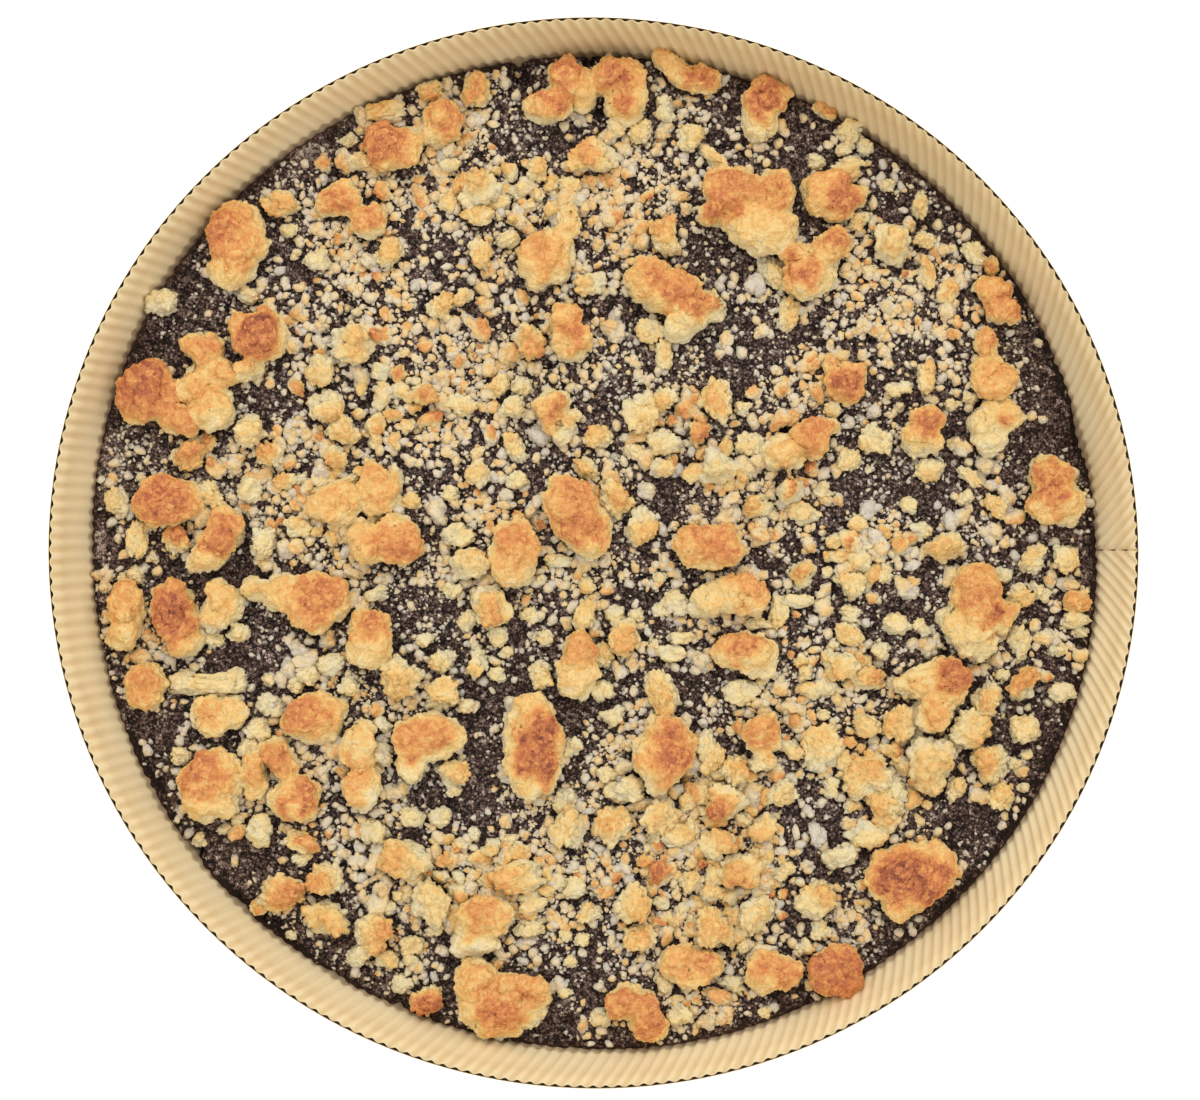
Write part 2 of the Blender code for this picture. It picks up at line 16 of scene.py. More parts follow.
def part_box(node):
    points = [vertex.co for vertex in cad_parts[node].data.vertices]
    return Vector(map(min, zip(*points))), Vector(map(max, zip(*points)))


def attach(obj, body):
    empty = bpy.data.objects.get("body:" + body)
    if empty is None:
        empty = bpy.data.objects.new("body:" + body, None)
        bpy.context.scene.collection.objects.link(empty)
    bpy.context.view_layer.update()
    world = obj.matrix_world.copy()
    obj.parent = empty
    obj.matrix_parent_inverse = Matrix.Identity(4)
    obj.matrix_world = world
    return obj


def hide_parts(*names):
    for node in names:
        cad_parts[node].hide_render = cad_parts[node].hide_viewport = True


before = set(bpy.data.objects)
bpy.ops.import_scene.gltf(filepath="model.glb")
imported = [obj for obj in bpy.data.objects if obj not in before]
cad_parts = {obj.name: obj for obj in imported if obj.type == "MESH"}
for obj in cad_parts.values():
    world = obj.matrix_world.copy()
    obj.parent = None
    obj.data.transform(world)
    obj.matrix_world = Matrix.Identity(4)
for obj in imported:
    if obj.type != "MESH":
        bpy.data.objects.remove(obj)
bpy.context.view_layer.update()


# The paper case: a flaring wall of corrugated kraft paper, glued at one seam at +X, on a flat floor.
# A thin smooth paper faces outwards. The fluted paper stands inside it, its flutes leaning towards the seam,
# and at the rim the hollow flutes show between the two as a row of dashes made dark by painted shade.

MM = 0.001
CASE_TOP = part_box("paper_case")[1].z / MM
RIM_RADIUS = 140.0
FOOT_RADIUS = 129.0
RIM_OVAL = 1.26                     # how much the long half of the rim exceeds the mean radius
OVAL_TURN = math.radians(7.5)
WALL = 1.5                          # from the outer face to the crest of a flute
PAPER = 0.3                         # thickness of the fluted sheet
LINER = 0.16                        # thickness of the smooth sheet outside it
FLUTE_DEPTH = 0.6
HOLLOW_POWER = 1.4                  # above 1 the hollows get narrower than the crests
FLOOR = 1.5
FOOT_ROUNDING = 1.2
FLUTES = 132.5                      # on each side of the seam
FLUTE_SLANT = 0.46                  # sideways run of a flute for each millimetre down, beside the seam
FLUTE_COLUMNS = 8                   # of the mesh, to a flute
FLUTE_ROWS = 7
SEAM_GAP = 0.12                     # half of the slit between the two ends of the fluted paper
SEAM_TURN = 0.3                     # degrees from +X
SMOOTH_SIDES = 180
PAPER_PALE = (239, 216, 169)
PAPER_TAN = (219, 189, 136)
PAPER_FLECK = (190, 152, 100)
PAPER_PAINTED_FOOT_LIGHT = (255, 238, 196)
PAPER_BAND_ABOVE_CAKE = (132, 88, 54)
# Painted shade: dark browns given to the paper inside the hollow flutes.
PAPER_HOLLOW_SHADES = ((42, 28, 16), (58, 40, 25))
PAPER_SIDE_SHADE = (238, 233, 223)       # painted shade laid over the side of the wall that faces away from the light
SHADED_SIDE = math.radians(68)
SIDE_SHADE_POWER = 3                     # how quickly the painted shade fades to either side
HOLLOW_FACING = 0.3                 # least share of a face's direction that points into a hollow
CLEAR_OF_CAKE = -9.0                # the height to the cake's edge that the outer paper is given, which keeps it free of the brown band
MERGE = 1e-3                        # corners closer than this are one
EDGE_LEVEL = 26.6                   # height of the cake at the wall, and waves in it: count, rise and phase
EDGE_WAVES = ((1, 0.7, 70), (2, 1.35, -133), (3, 0.4, 136), (4, 0.9, -166), (5, 0.6, -35), (6, 0.55, -143))


def limited(value):
    """A value kept between 0 and 1."""
    return min(1.0, max(0.0, value))


def outer_radius(height):
    """Mean radius of the case's outer face at a height."""
    return FOOT_RADIUS + (RIM_RADIUS - FOOT_RADIUS) * height / CASE_TOP


def stretch(angle):
    """The case is a little oval, long side nearly along X, and the cake in it is too."""
    return 1 + RIM_OVAL / RIM_RADIUS * math.cos(2 * (angle + OVAL_TURN))


def edge_level(angle):
    """Height of the cake where it meets the wall."""
    return EDGE_LEVEL + sum(rise * math.cos(count * angle - math.radians(phase))
                            for count, rise, phase in EDGE_WAVES)


def make_oval(bm):
    """Gives a round mesh the case's oval."""
    for vert in bm.verts:
        factor = stretch(math.atan2(vert.co.y, vert.co.x))
        vert.co.x *= factor
        vert.co.y *= factor


def linked(name, data):
    """A new object of the scene."""
    made = bpy.data.objects.new(name, data)
    bpy.context.scene.collection.objects.link(made)
    return made


def add_piece(name, mesh, slot, *finishes):
    """Puts a mesh worked in millimetres into the scene as a smooth piece that rides with the case."""
    mesh.transform(Matrix.Scale(MM, 4))
    for finish in finishes:
        mesh.materials.append(finish)
    mesh.shade_smooth()
    piece = linked(name, mesh)
    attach(piece, "root")
    return piece


def mesh_of(bm, name):
    """The finished mesh of a bmesh, with its faces turned outwards."""
    bmesh.ops.recalc_face_normals(bm, faces=bm.faces)
    mesh = bpy.data.meshes.new(name)
    bm.to_mesh(mesh)
    bm.free()
    return mesh


def srgb(colour):
    """A display colour of 0 to 255 as the linear value that a shader takes."""
    parts = [channel / 255 for channel in colour]
    return (*(p / 12.92 if p <= 0.04045 else ((p + 0.055) / 1.055) ** 2.4 for p in parts), 1.0)


class Value:
    """A number that changes over a surface. Sums written on it become Math nodes of its material."""

    def __init__(self, finish, socket):
        self.finish = finish
        self.socket = socket

    def maths(self, operation, first, second=0.0, clamp=False):
        settings = {"operation": operation, "use_clamp": clamp}
        return self.finish.node("ShaderNodeMath", settings, {0: first, 1: second})

    def __add__(self, other):
        return self.maths("ADD", self, other)

    def __sub__(self, other):
        return self.maths("SUBTRACT", self, other)

    def __mul__(self, other):
        return self.maths("MULTIPLY", self, other)

    def __rsub__(self, other):
        return self.maths("SUBTRACT", other, self)

    def clamped(self):
        return self.maths("ADD", self, 0.0, clamp=True)

    def over(self, low, high):
        """0 below the low value, 1 above the high one, and evenly between."""
        return self.maths("MULTIPLY", self - low, 1 / (high - low), clamp=True)


class Finish:
    """A material in the making, with the few kinds of nodes that this cake needs."""

    def __init__(self, name, roughness, **constants):
        self.material = bpy.data.materials.new(name)
        self.material.use_nodes = True
        self.nodes = self.material.node_tree.nodes
        self.links = self.material.node_tree.links
        self.shader = self.nodes["Principled BSDF"]
        self.shader.inputs["Metallic"].default_value = 0.0
        self.shader.inputs["Roughness"].default_value = roughness
        for socket, value in constants.items():
            self.shader.inputs[socket.replace("_", " ")].default_value = value
        self.place = self.node("ShaderNodeTexCoord", {}, {}, "Object").socket

    def node(self, kind, settings, values, output=0):
        """Adds a node, sets its settings, then the values or links of its sockets, and gives an output."""
        node = self.nodes.new(kind)
        for setting, value in settings.items():
            if setting == "stops":
                ramp = node.color_ramp
                while len(ramp.elements) < len(value):
                    ramp.elements.new(1.0)
                for element, (position, colour) in zip(ramp.elements, value):
                    element.position = position
                    element.color = srgb(colour)
            else:
                setattr(node, setting, value)
        for socket, value in values.items():
            if isinstance(value, Value):
                value = value.socket
            if isinstance(value, bpy.types.NodeSocket):
                self.links.new(value, node.inputs[socket])
            else:
                node.inputs[socket].default_value = value
        return Value(self, node.outputs[output])

    def noise(self, size, detail=2.0, roughness=0.5, shift=(0, 0, 0)):
        """Soft cloudy noise around 0.5, its clouds of a size in millimetres."""
        place = self.place
        if any(shift):
            place = self.node("ShaderNodeMapping", {}, {"Vector": place, "Location": shift}).socket
        values = {"Vector": place, "Scale": 1 / (size * MM), "Detail": detail, "Roughness": roughness}
        return self.node("ShaderNodeTexNoise", {}, values)

    def grains(self, size, output="Distance"):
        """Cells of a size in millimetres: the distance from a cell's middle, or its own random colour."""
        return self.node("ShaderNodeTexVoronoi", {}, {"Vector": self.place, "Scale": 1 / (size * MM)}, output)

    def channel(self, colour, number):
        """The red, green or blue of a colour, by number."""
        return self.node("ShaderNodeSeparateColor", {}, {0: colour}, number)

    def attribute(self, name):
        """A value that the mesh holds at each of its corners."""
        return self.node("ShaderNodeAttribute", {"attribute_name": name}, {}, "Fac")

    def ramp(self, value, stops):
        """Display colours at places from 0 to 1 of a value, blended between."""
        return self.node("ShaderNodeValToRGB", {"stops": stops}, {"Fac": value}, "Color")

    def blend(self, share, first, second, way="MIX"):
        """One colour over another by a share."""
        first = first if isinstance(first, Value) else srgb(first)
        second = second if isinstance(second, Value) else srgb(second)
        settings = {"data_type": "RGBA", "blend_type": way}
        return self.node("ShaderNodeMix", settings, {"Factor": share, 6: first, 7: second}, 2)

    def colour(self, colour):
        self.links.new(colour.socket, self.shader.inputs["Base Color"])

    def bump(self, height, depth):
        """Fine relief whose height of 1 stands for a depth in millimetres."""
        values = {"Height": height, "Distance": depth * MM, "Strength": 1.0}
        self.links.new(self.node("ShaderNodeBump", {}, values).socket, self.shader.inputs["Normal"])


def mark_all(mesh, marks):
    """Gives each corner of a mesh the values that its finish reads, by name."""
    for name, values in marks.items():
        mesh.attributes.new(name, "FLOAT", "POINT").data.foreach_set("value", values)


def paint_hollow_shade(bm, side):
    """Gives the second finish, a painted shade, to the faces inside the flutes, which face away from the axis
    or towards it.
    """
    for face in bm.faces:
        middle = face.calc_center_median()
        outwards = face.normal.x * middle.x + face.normal.y * middle.y
        if side * outwards > middle.length * HOLLOW_FACING and middle.z > FLOOR + PAPER:
            face.material_index = 1


def fluted_paper():
    """The fluted sheet: one half laid out flat, bent round, cut at the seam, mirrored and thickened."""
    bm = bmesh.new()
    columns = round(FLUTES * FLUTE_COLUMNS)
    bmesh.ops.create_grid(bm, x_segments=columns, y_segments=FLUTE_ROWS, size=0.5)
    for vert in bm.verts:
        turn = math.pi * (vert.co.x + 0.5)
        height = FLOOR + (CASE_TOP - FLOOR) * (vert.co.y + 0.5)
        hollow = ((1 + math.cos(2 * FLUTES * turn)) / 2) ** HOLLOW_POWER
        run = FLUTE_SLANT * math.sin(turn / 2) * (CASE_TOP - height)
        angle = math.pi - turn - run / outer_radius(height)
        radius = outer_radius(height) - LINER - PAPER / 2 - FLUTE_DEPTH * hollow
        vert.co = (radius * math.cos(angle), radius * math.sin(angle), height)
    bmesh.ops.bisect_plane(bm, geom=bm.verts[:] + bm.edges[:] + bm.faces[:], dist=1e-4,
                           plane_co=(0, 0, 0), plane_no=(0, -1, 0), clear_outer=True)
    for vert in bm.verts:
        if vert.co.x > 0 and vert.co.y < SEAM_GAP:
            vert.co.y = SEAM_GAP
    bmesh.ops.mirror(bm, geom=bm.verts[:] + bm.edges[:] + bm.faces[:], axis="Y", merge_dist=MERGE)
    seam_turn = Matrix.Rotation(math.radians(SEAM_TURN), 3, "Z")
    bmesh.ops.rotate(bm, verts=bm.verts, cent=(0, 0, 0), matrix=seam_turn)
    make_oval(bm)
    bmesh.ops.recalc_face_normals(bm, faces=bm.faces)
    bmesh.ops.solidify(bm, geom=bm.faces[:], thickness=PAPER)
    bmesh.ops.recalc_face_normals(bm, faces=bm.faces)
    paint_hollow_shade(bm, 1)
    mesh = mesh_of(bm, "fluted_paper")
    marks = {"crest": [], "depth": [], "stain": [], "baked": []}
    for vert in mesh.vertices:
        x, y, height = vert.co
        angle = math.atan2(y, x)
        depth = outer_radius(height) * stretch(angle) - math.hypot(x, y)
        marks["crest"].append((depth - LINER - PAPER) / FLUTE_DEPTH)
        # How far below the rim, which the finish uses to paint light on the paper towards its foot.
        marks["depth"].append(1 - height / CASE_TOP)
        marks["stain"].append(edge_level(angle) - height)
        # Painted shade on the side of the wall that faces away from the light.
        marks["baked"].append(max(0.0, math.cos(angle - SHADED_SIDE)) ** SIDE_SHADE_POWER)
    mark_all(mesh, marks)
    return mesh


def smooth_paper():
    """The outer paper and the floor as one turned shell."""
    bm = bmesh.new()
    inner_foot = outer_radius(FLOOR) - LINER
    profile = [(0, 0), (FOOT_RADIUS - FOOT_ROUNDING, 0), (FOOT_RADIUS - FOOT_ROUNDING / 3, FOOT_ROUNDING / 3),
               (outer_radius(FOOT_ROUNDING), FOOT_ROUNDING), (RIM_RADIUS, CASE_TOP),
               (RIM_RADIUS - LINER, CASE_TOP), (inner_foot, FLOOR), (0, FLOOR)]
    chain = [bm.verts.new((radius, 0, height)) for radius, height in profile]
    edges = [bm.edges.new(pair) for pair in zip(chain, chain[1:])]
    bmesh.ops.spin(bm, geom=chain + edges, axis=(0, 0, 1), cent=(0, 0, 0), angle=math.tau,
                   steps=SMOOTH_SIDES, use_merge=True)
    bmesh.ops.remove_doubles(bm, verts=bm.verts, dist=MERGE)
    make_oval(bm)
    bmesh.ops.recalc_face_normals(bm, faces=bm.faces)
    paint_hollow_shade(bm, -1)
    mesh = mesh_of(bm, "smooth_paper")
    plain = {"crest": 0.5, "depth": 0.0, "stain": CLEAR_OF_CAKE, "baked": 0.0}
    mark_all(mesh, {name: [value] * len(mesh.vertices) for name, value in plain.items()})
    return mesh


def paper_finish():
    """Unbleached kraft paper: tan, cloudy, with darker flecks and fine fibres. Its colour also holds painted
    light and shade: paler crests and darker hollows on the flutes, paler towards the foot, darker on one
    side.
    """
    paper = Finish("kraft_paper", 0.85)
    clouds = paper.noise(9, detail=3)
    fibres = paper.noise(0.5, detail=4, roughness=0.65)
    # Painted light and shade: the flutes' crests paler and their hollows darker.
    tone = ((clouds + fibres) * 0.3 + paper.attribute("crest").clamped() * 0.44).over(0.25, 0.75)
    flecks = paper.noise(0.8, detail=2, shift=(0.3, 0.1, 0.2)).over(0.66, 0.74)
    colour = paper.blend(tone, PAPER_TAN, PAPER_PALE)
    # Painted light: the paper paler towards its foot, where the wall stands in shade.
    colour = paper.blend(paper.attribute("depth").over(0.1, 0.4) * 0.75, colour, PAPER_PAINTED_FOOT_LIGHT)
    # Painted shade on the side of the wall that faces away from the light.
    colour = paper.blend(paper.attribute("baked"), colour, PAPER_SIDE_SHADE, "MULTIPLY")
    # Darker brown in a band just above the cake's edge.
    stain = (paper.attribute("stain") + (clouds - 0.5) * 3).over(-1.6, -0.1)
    colour = paper.blend(stain * (fibres + 0.1).clamped(), colour, PAPER_BAND_ABOVE_CAKE)
    paper.colour(paper.blend(flecks * 0.35, colour, PAPER_FLECK))
    paper.bump(fibres, 0.08)
    return paper.material


kraft = paper_finish()
# The paper inside the hollow flutes gets a painted shade of dark brown.
painted_shade_kraft = Finish("kraft_with_painted_shade_in_flutes", 0.9)
painted_shade_kraft.colour(painted_shade_kraft.blend(painted_shade_kraft.noise(0.5), *PAPER_HOLLOW_SHADES))
add_piece("case_flutes", fluted_paper(), "brown_paper", kraft, painted_shade_kraft.material)
liner = add_piece("case_outside", smooth_paper(), "brown_paper", kraft, painted_shade_kraft.material)
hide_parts("paper_case")


# The poppy seed filling: a moist dark mass of ground poppy seed that was baked in the case. Its top is
# uneven, pitted and grainy, and it has shrunk a little from the wall, which leaves a dark gap that painted
# shade deepens.

CAMERA_HEIGHT = 580.0               # above the rim, in millimetres
CAMERA_X = 1.7
CAMERA_Y = 0.75
PICTURE_MIDDLE = (600, 550)
RIM_PIXEL = 0.2589                  # millimetres to a pixel of the photograph at the height of the rim
CAKE_GAP = -0.15                    # beyond the wall's full thickness; less than 0 reaches between the flutes
MIDDLE_LEVEL = 28.0
EDGE_POWER = 4                      # how late the top turns from the middle's level to the edge's
SWELL = 0.5                         # the top's slow ups and downs
SWELL_X = (31.0, 0.6)               # their length and shift, to the right and away
SWELL_Y = (27.0, -0.4)
FILLING_CELLS = 260
SLOW_WAVES = (9.0, 0.7)             # length and height of the lumps in the filling's top
QUICK_WAVES = (3.2, 0.5)
SEEDS = (2.2, 0.5)                  # size and height of its grains
PITS = (4.5, 0.3, 6.0)              # their length, how rare they are, and their depth
ROUNDED_EDGE = 1.2                  # how far from the wall the top begins to fall
NIBBLES = (5.0, 0.5, 1.6, 2.2)      # in that edge: their length, and its least width, mean and sway
EDGE_DROP = 0.8
SETTLED = 0.3                       # how far the whole top has sunk
CAKE_DEPTH = 18.0                   # of the cake's top below the rim
CRUST_WIDTH = 1.4                   # of the browned line at the wall
WALL_SHADE_WIDTH = (1.0, 1.6)           # of the painted shade at the wall: where it is weakest, and what full shade adds
SEED_SIZE = 0.7                     # of the ground seed in the colours
LARGE_SEED_SIZE = 1.4
FILLING_STOPS = ((0.0, (20, 12, 8)), (0.14, (47, 30, 22)), (0.3, (88, 67, 58)), (0.48, (124, 102, 92)),
                 (0.64, (162, 143, 130)), (0.82, (217, 199, 178)))
SEED_PURPLE = (134, 106, 134)
CRUST_BROWN = (96, 58, 38)

# Holes in the filling: middle, width and height in pixels of the photograph, and depth in millimetres. Then
# the places where a dry beige skin has flaked on it, in the same way without a depth.
HOLES = ((520, 76, 30, 40, 7.0), (590, 62, 16, 16, 5.0), (600, 112, 14, 12, 3.0), (1062, 330, 26, 60, 3.0),
         (1083, 430, 24, 80, 3.0), (255, 250, 20, 30, 2.5), (158, 775, 24, 60, 3.0), (190, 850, 26, 60, 3.5),
         (235, 912, 40, 34, 3.0), (330, 978, 60, 24, 2.0), (1000, 905, 60, 30, 2.0), (1060, 790, 24, 60, 2.0))
FLAKES = ((302, 150, 60, 44), (110, 470, 30, 90), (97, 545, 16, 50), (330, 118, 40, 24))

# Where painted shade darkens the filling's edge at the wall: direction and half width in degrees, and a
# share.
WALL_SHADES = ((20, 16, 1.0), (60, 20, 0.4), (130, 30, 0.3), (187, 12, 0.6), (218, 24, 1.0), (255, 20, 0.4),
          (300, 20, 0.4), (330, 20, 1.0), (0, 12, 0.6))
LEAST_WALL_SHADE = 0.25                 # everywhere else


def place(x, y, depth):
    """A point of the photograph on the cake, in millimetres, from its depth below the rim."""
    pixel = RIM_PIXEL * (1 + depth / CAMERA_HEIGHT)
    return (CAMERA_X + (x - PICTURE_MIDDLE[0]) * pixel, CAMERA_Y - (y - PICTURE_MIDDLE[1]) * pixel, pixel)


def cake_radius(angle, height):
    """Radius of the cake's side, just clear of the flutes."""
    return (outer_radius(height) - WALL - CAKE_GAP) * stretch(angle)


def cake_level(x, y):
    """Height of the bare cake: level in the middle, then falling or rising to meet the wall."""
    angle = math.atan2(y, x)
    share = math.hypot(x, y) / cake_radius(angle, EDGE_LEVEL)
    swell = SWELL * math.sin(x / SWELL_X[0] + SWELL_X[1]) * math.cos(y / SWELL_Y[0] + SWELL_Y[1])
    blend = min(share, 1.0) ** EDGE_POWER
    return (MIDDLE_LEVEL + swell) * (1 - blend) + edge_level(angle) * blend


def wall_shade_at(angle):
    """How much painted shade darkens the filling at the wall in a direction."""
    share = LEAST_WALL_SHADE
    for middle, half, strength in WALL_SHADES:
        away = abs((math.degrees(angle) - middle + 180) % 360 - 180) / half
        share = max(share, strength * limited(1.5 - away))
    return share


def dome(distance):
    """Height of a rounded grain at a distance from its middle, both as shares."""
    return 1 - min(1.0, distance) ** 2


def away_from(x, y, row):
    """Distance of a point of the cake from a place of the photograph, as a share of the place's half size."""
    middle_x, middle_y, pixel = place(row[0], row[1], CAKE_DEPTH)
    return math.hypot((x - middle_x) / row[2], (y - middle_y) / row[3]) * 2 / pixel


def clouds_at(x, y, layer, length):
    """Smooth noise around 0 over the cake, which differs from layer to layer."""
    return noise.noise(Vector((x, y, layer)) / length)


def filling_height(x, y):
    """Height of the filling with its lumps, pits and grains."""
    slow = clouds_at(x, y, 3, SLOW_WAVES[0])
    quick = clouds_at(x, y, 40, QUICK_WAVES[0])
    grain = dome(noise.voronoi(Vector((x, y, 9)) / SEEDS[0])[0][0])
    pit = max(0.0, clouds_at(x, y, 80, PITS[0]) - PITS[1])
    from_wall = cake_radius(math.atan2(y, x), EDGE_LEVEL) - math.hypot(x, y)
    nibble = max(NIBBLES[1], NIBBLES[2] + NIBBLES[3] * clouds_at(x, y, 60, NIBBLES[0]))
    fall = max(0.0, 1 - from_wall / (ROUNDED_EDGE * nibble)) ** 2 * EDGE_DROP
    hole = sum(row[4] * max(0.0, 1 - away_from(x, y, row) ** 2) for row in HOLES)
    relief = SLOW_WAVES[1] * slow + QUICK_WAVES[1] * quick + SEEDS[1] * grain - PITS[2] * pit
    return cake_level(x, y) + relief - fall - hole - SETTLED


def make_filling():
    """A square grid pulled round to the cake's outline, lifted to its relief and closed below."""
    bm = bmesh.new()
    bmesh.ops.create_grid(bm, x_segments=FILLING_CELLS, y_segments=FILLING_CELLS, size=1)
    for vert in bm.verts:
        x = vert.co.x * math.sqrt(1 - vert.co.y ** 2 / 2)
        y = vert.co.y * math.sqrt(1 - vert.co.x ** 2 / 2)
        reach = cake_radius(math.atan2(y, x), EDGE_LEVEL)
        vert.co = (x * reach, y * reach, 0)
        vert.co.z = filling_height(vert.co.x, vert.co.y)
    rim = [edge for edge in bm.edges if edge.is_boundary]
    for height in (FLOOR + (EDGE_LEVEL - FLOOR) / 2, FLOOR + PAPER):
        made = bmesh.ops.extrude_edge_only(bm, edges=rim)["geom"]
        rim = [part for part in made if isinstance(part, bmesh.types.BMEdge) and part.is_boundary]
        for vert in {vert for edge in rim for vert in edge.verts}:
            angle = math.atan2(vert.co.y, vert.co.x)
            reach = cake_radius(angle, height)
            vert.co = (reach * math.cos(angle), reach * math.sin(angle), height)
    bmesh.ops.edgeloop_fill(bm, edges=rim)
    mesh = mesh_of(bm, "filling")
    marks = {"crust": [], "soaked": [], "flakes": []}
    for vert in mesh.vertices:
        x, y, _ = vert.co
        angle = math.atan2(y, x)
        from_wall = cake_radius(angle, EDGE_LEVEL) - math.hypot(x, y)
        soaked = wall_shade_at(angle)
        marks["crust"].append(max(0.0, 1 - from_wall / CRUST_WIDTH))
        wall_shade_width = WALL_SHADE_WIDTH[0] + WALL_SHADE_WIDTH[1] * soaked
        marks["soaked"].append(soaked * limited(1.4 - from_wall / wall_shade_width))
        marks["flakes"].append(max(max(0.0, 1.2 - away_from(x, y, row)) for row in FLAKES))
    mark_all(mesh, marks)
    return mesh


def filling_finish():
    """Ground poppy seed: black pits and dark grains of purple, brown and grey, with paler broken seeds."""
    filling = Finish("ground_poppy", 0.6, Specular_IOR_Level=0.25)
    cell = filling.grains(SEED_SIZE, "Color")
    lightness = filling.channel(cell, 0)
    hue = filling.channel(cell, 1)
    edge = filling.grains(SEED_SIZE)
    larger = filling.channel(filling.grains(LARGE_SEED_SIZE, "Color"), 0)
    clouds = filling.noise(7, detail=3)
    fine = filling.noise(0.4, detail=3, roughness=0.7)
    tone = lightness * 0.58 + larger.over(0.8, 1.0) * 0.34 + (fine - 0.5) * 1.35 + (clouds - 0.5) * 0.2
    # Painted shade darkens the filling's edge along the wall, more in some directions than others.
    tone = tone - edge * 0.45 + 0.18 - filling.attribute("soaked") * (1 - larger.over(0.75, 0.8)) * 0.45
    tone = tone + filling.attribute("flakes") * (fine + 0.1) * 0.6
    grey = filling.ramp(tone.clamped(), FILLING_STOPS)
    purple = filling.blend(hue.over(0.5, 0.9) * 0.5, grey, SEED_PURPLE, "MULTIPLY")
    browned = filling.attribute("crust") * fine.over(0.3, 0.6)
    filling.colour(filling.blend(browned * 0.6, purple, CRUST_BROWN))
    filling.bump((1 - edge) * 0.8 + fine * 0.9, 0.6)
    return filling.material


ground_poppy = filling_finish()
filling_piece = add_piece("poppy_filling", make_filling(), "poppy_filling", ground_poppy)
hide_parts("poppy_cake")


# The large lumps of streusel: butter, sugar and flour rubbed to knobbly lumps that rest on the filling.
# Each is grown from rounded knobs and crusted with grains. Where a lump stands highest it has browned.

LUMP_DEPTH = 14.0                   # of the middle of a large lump, below the rim

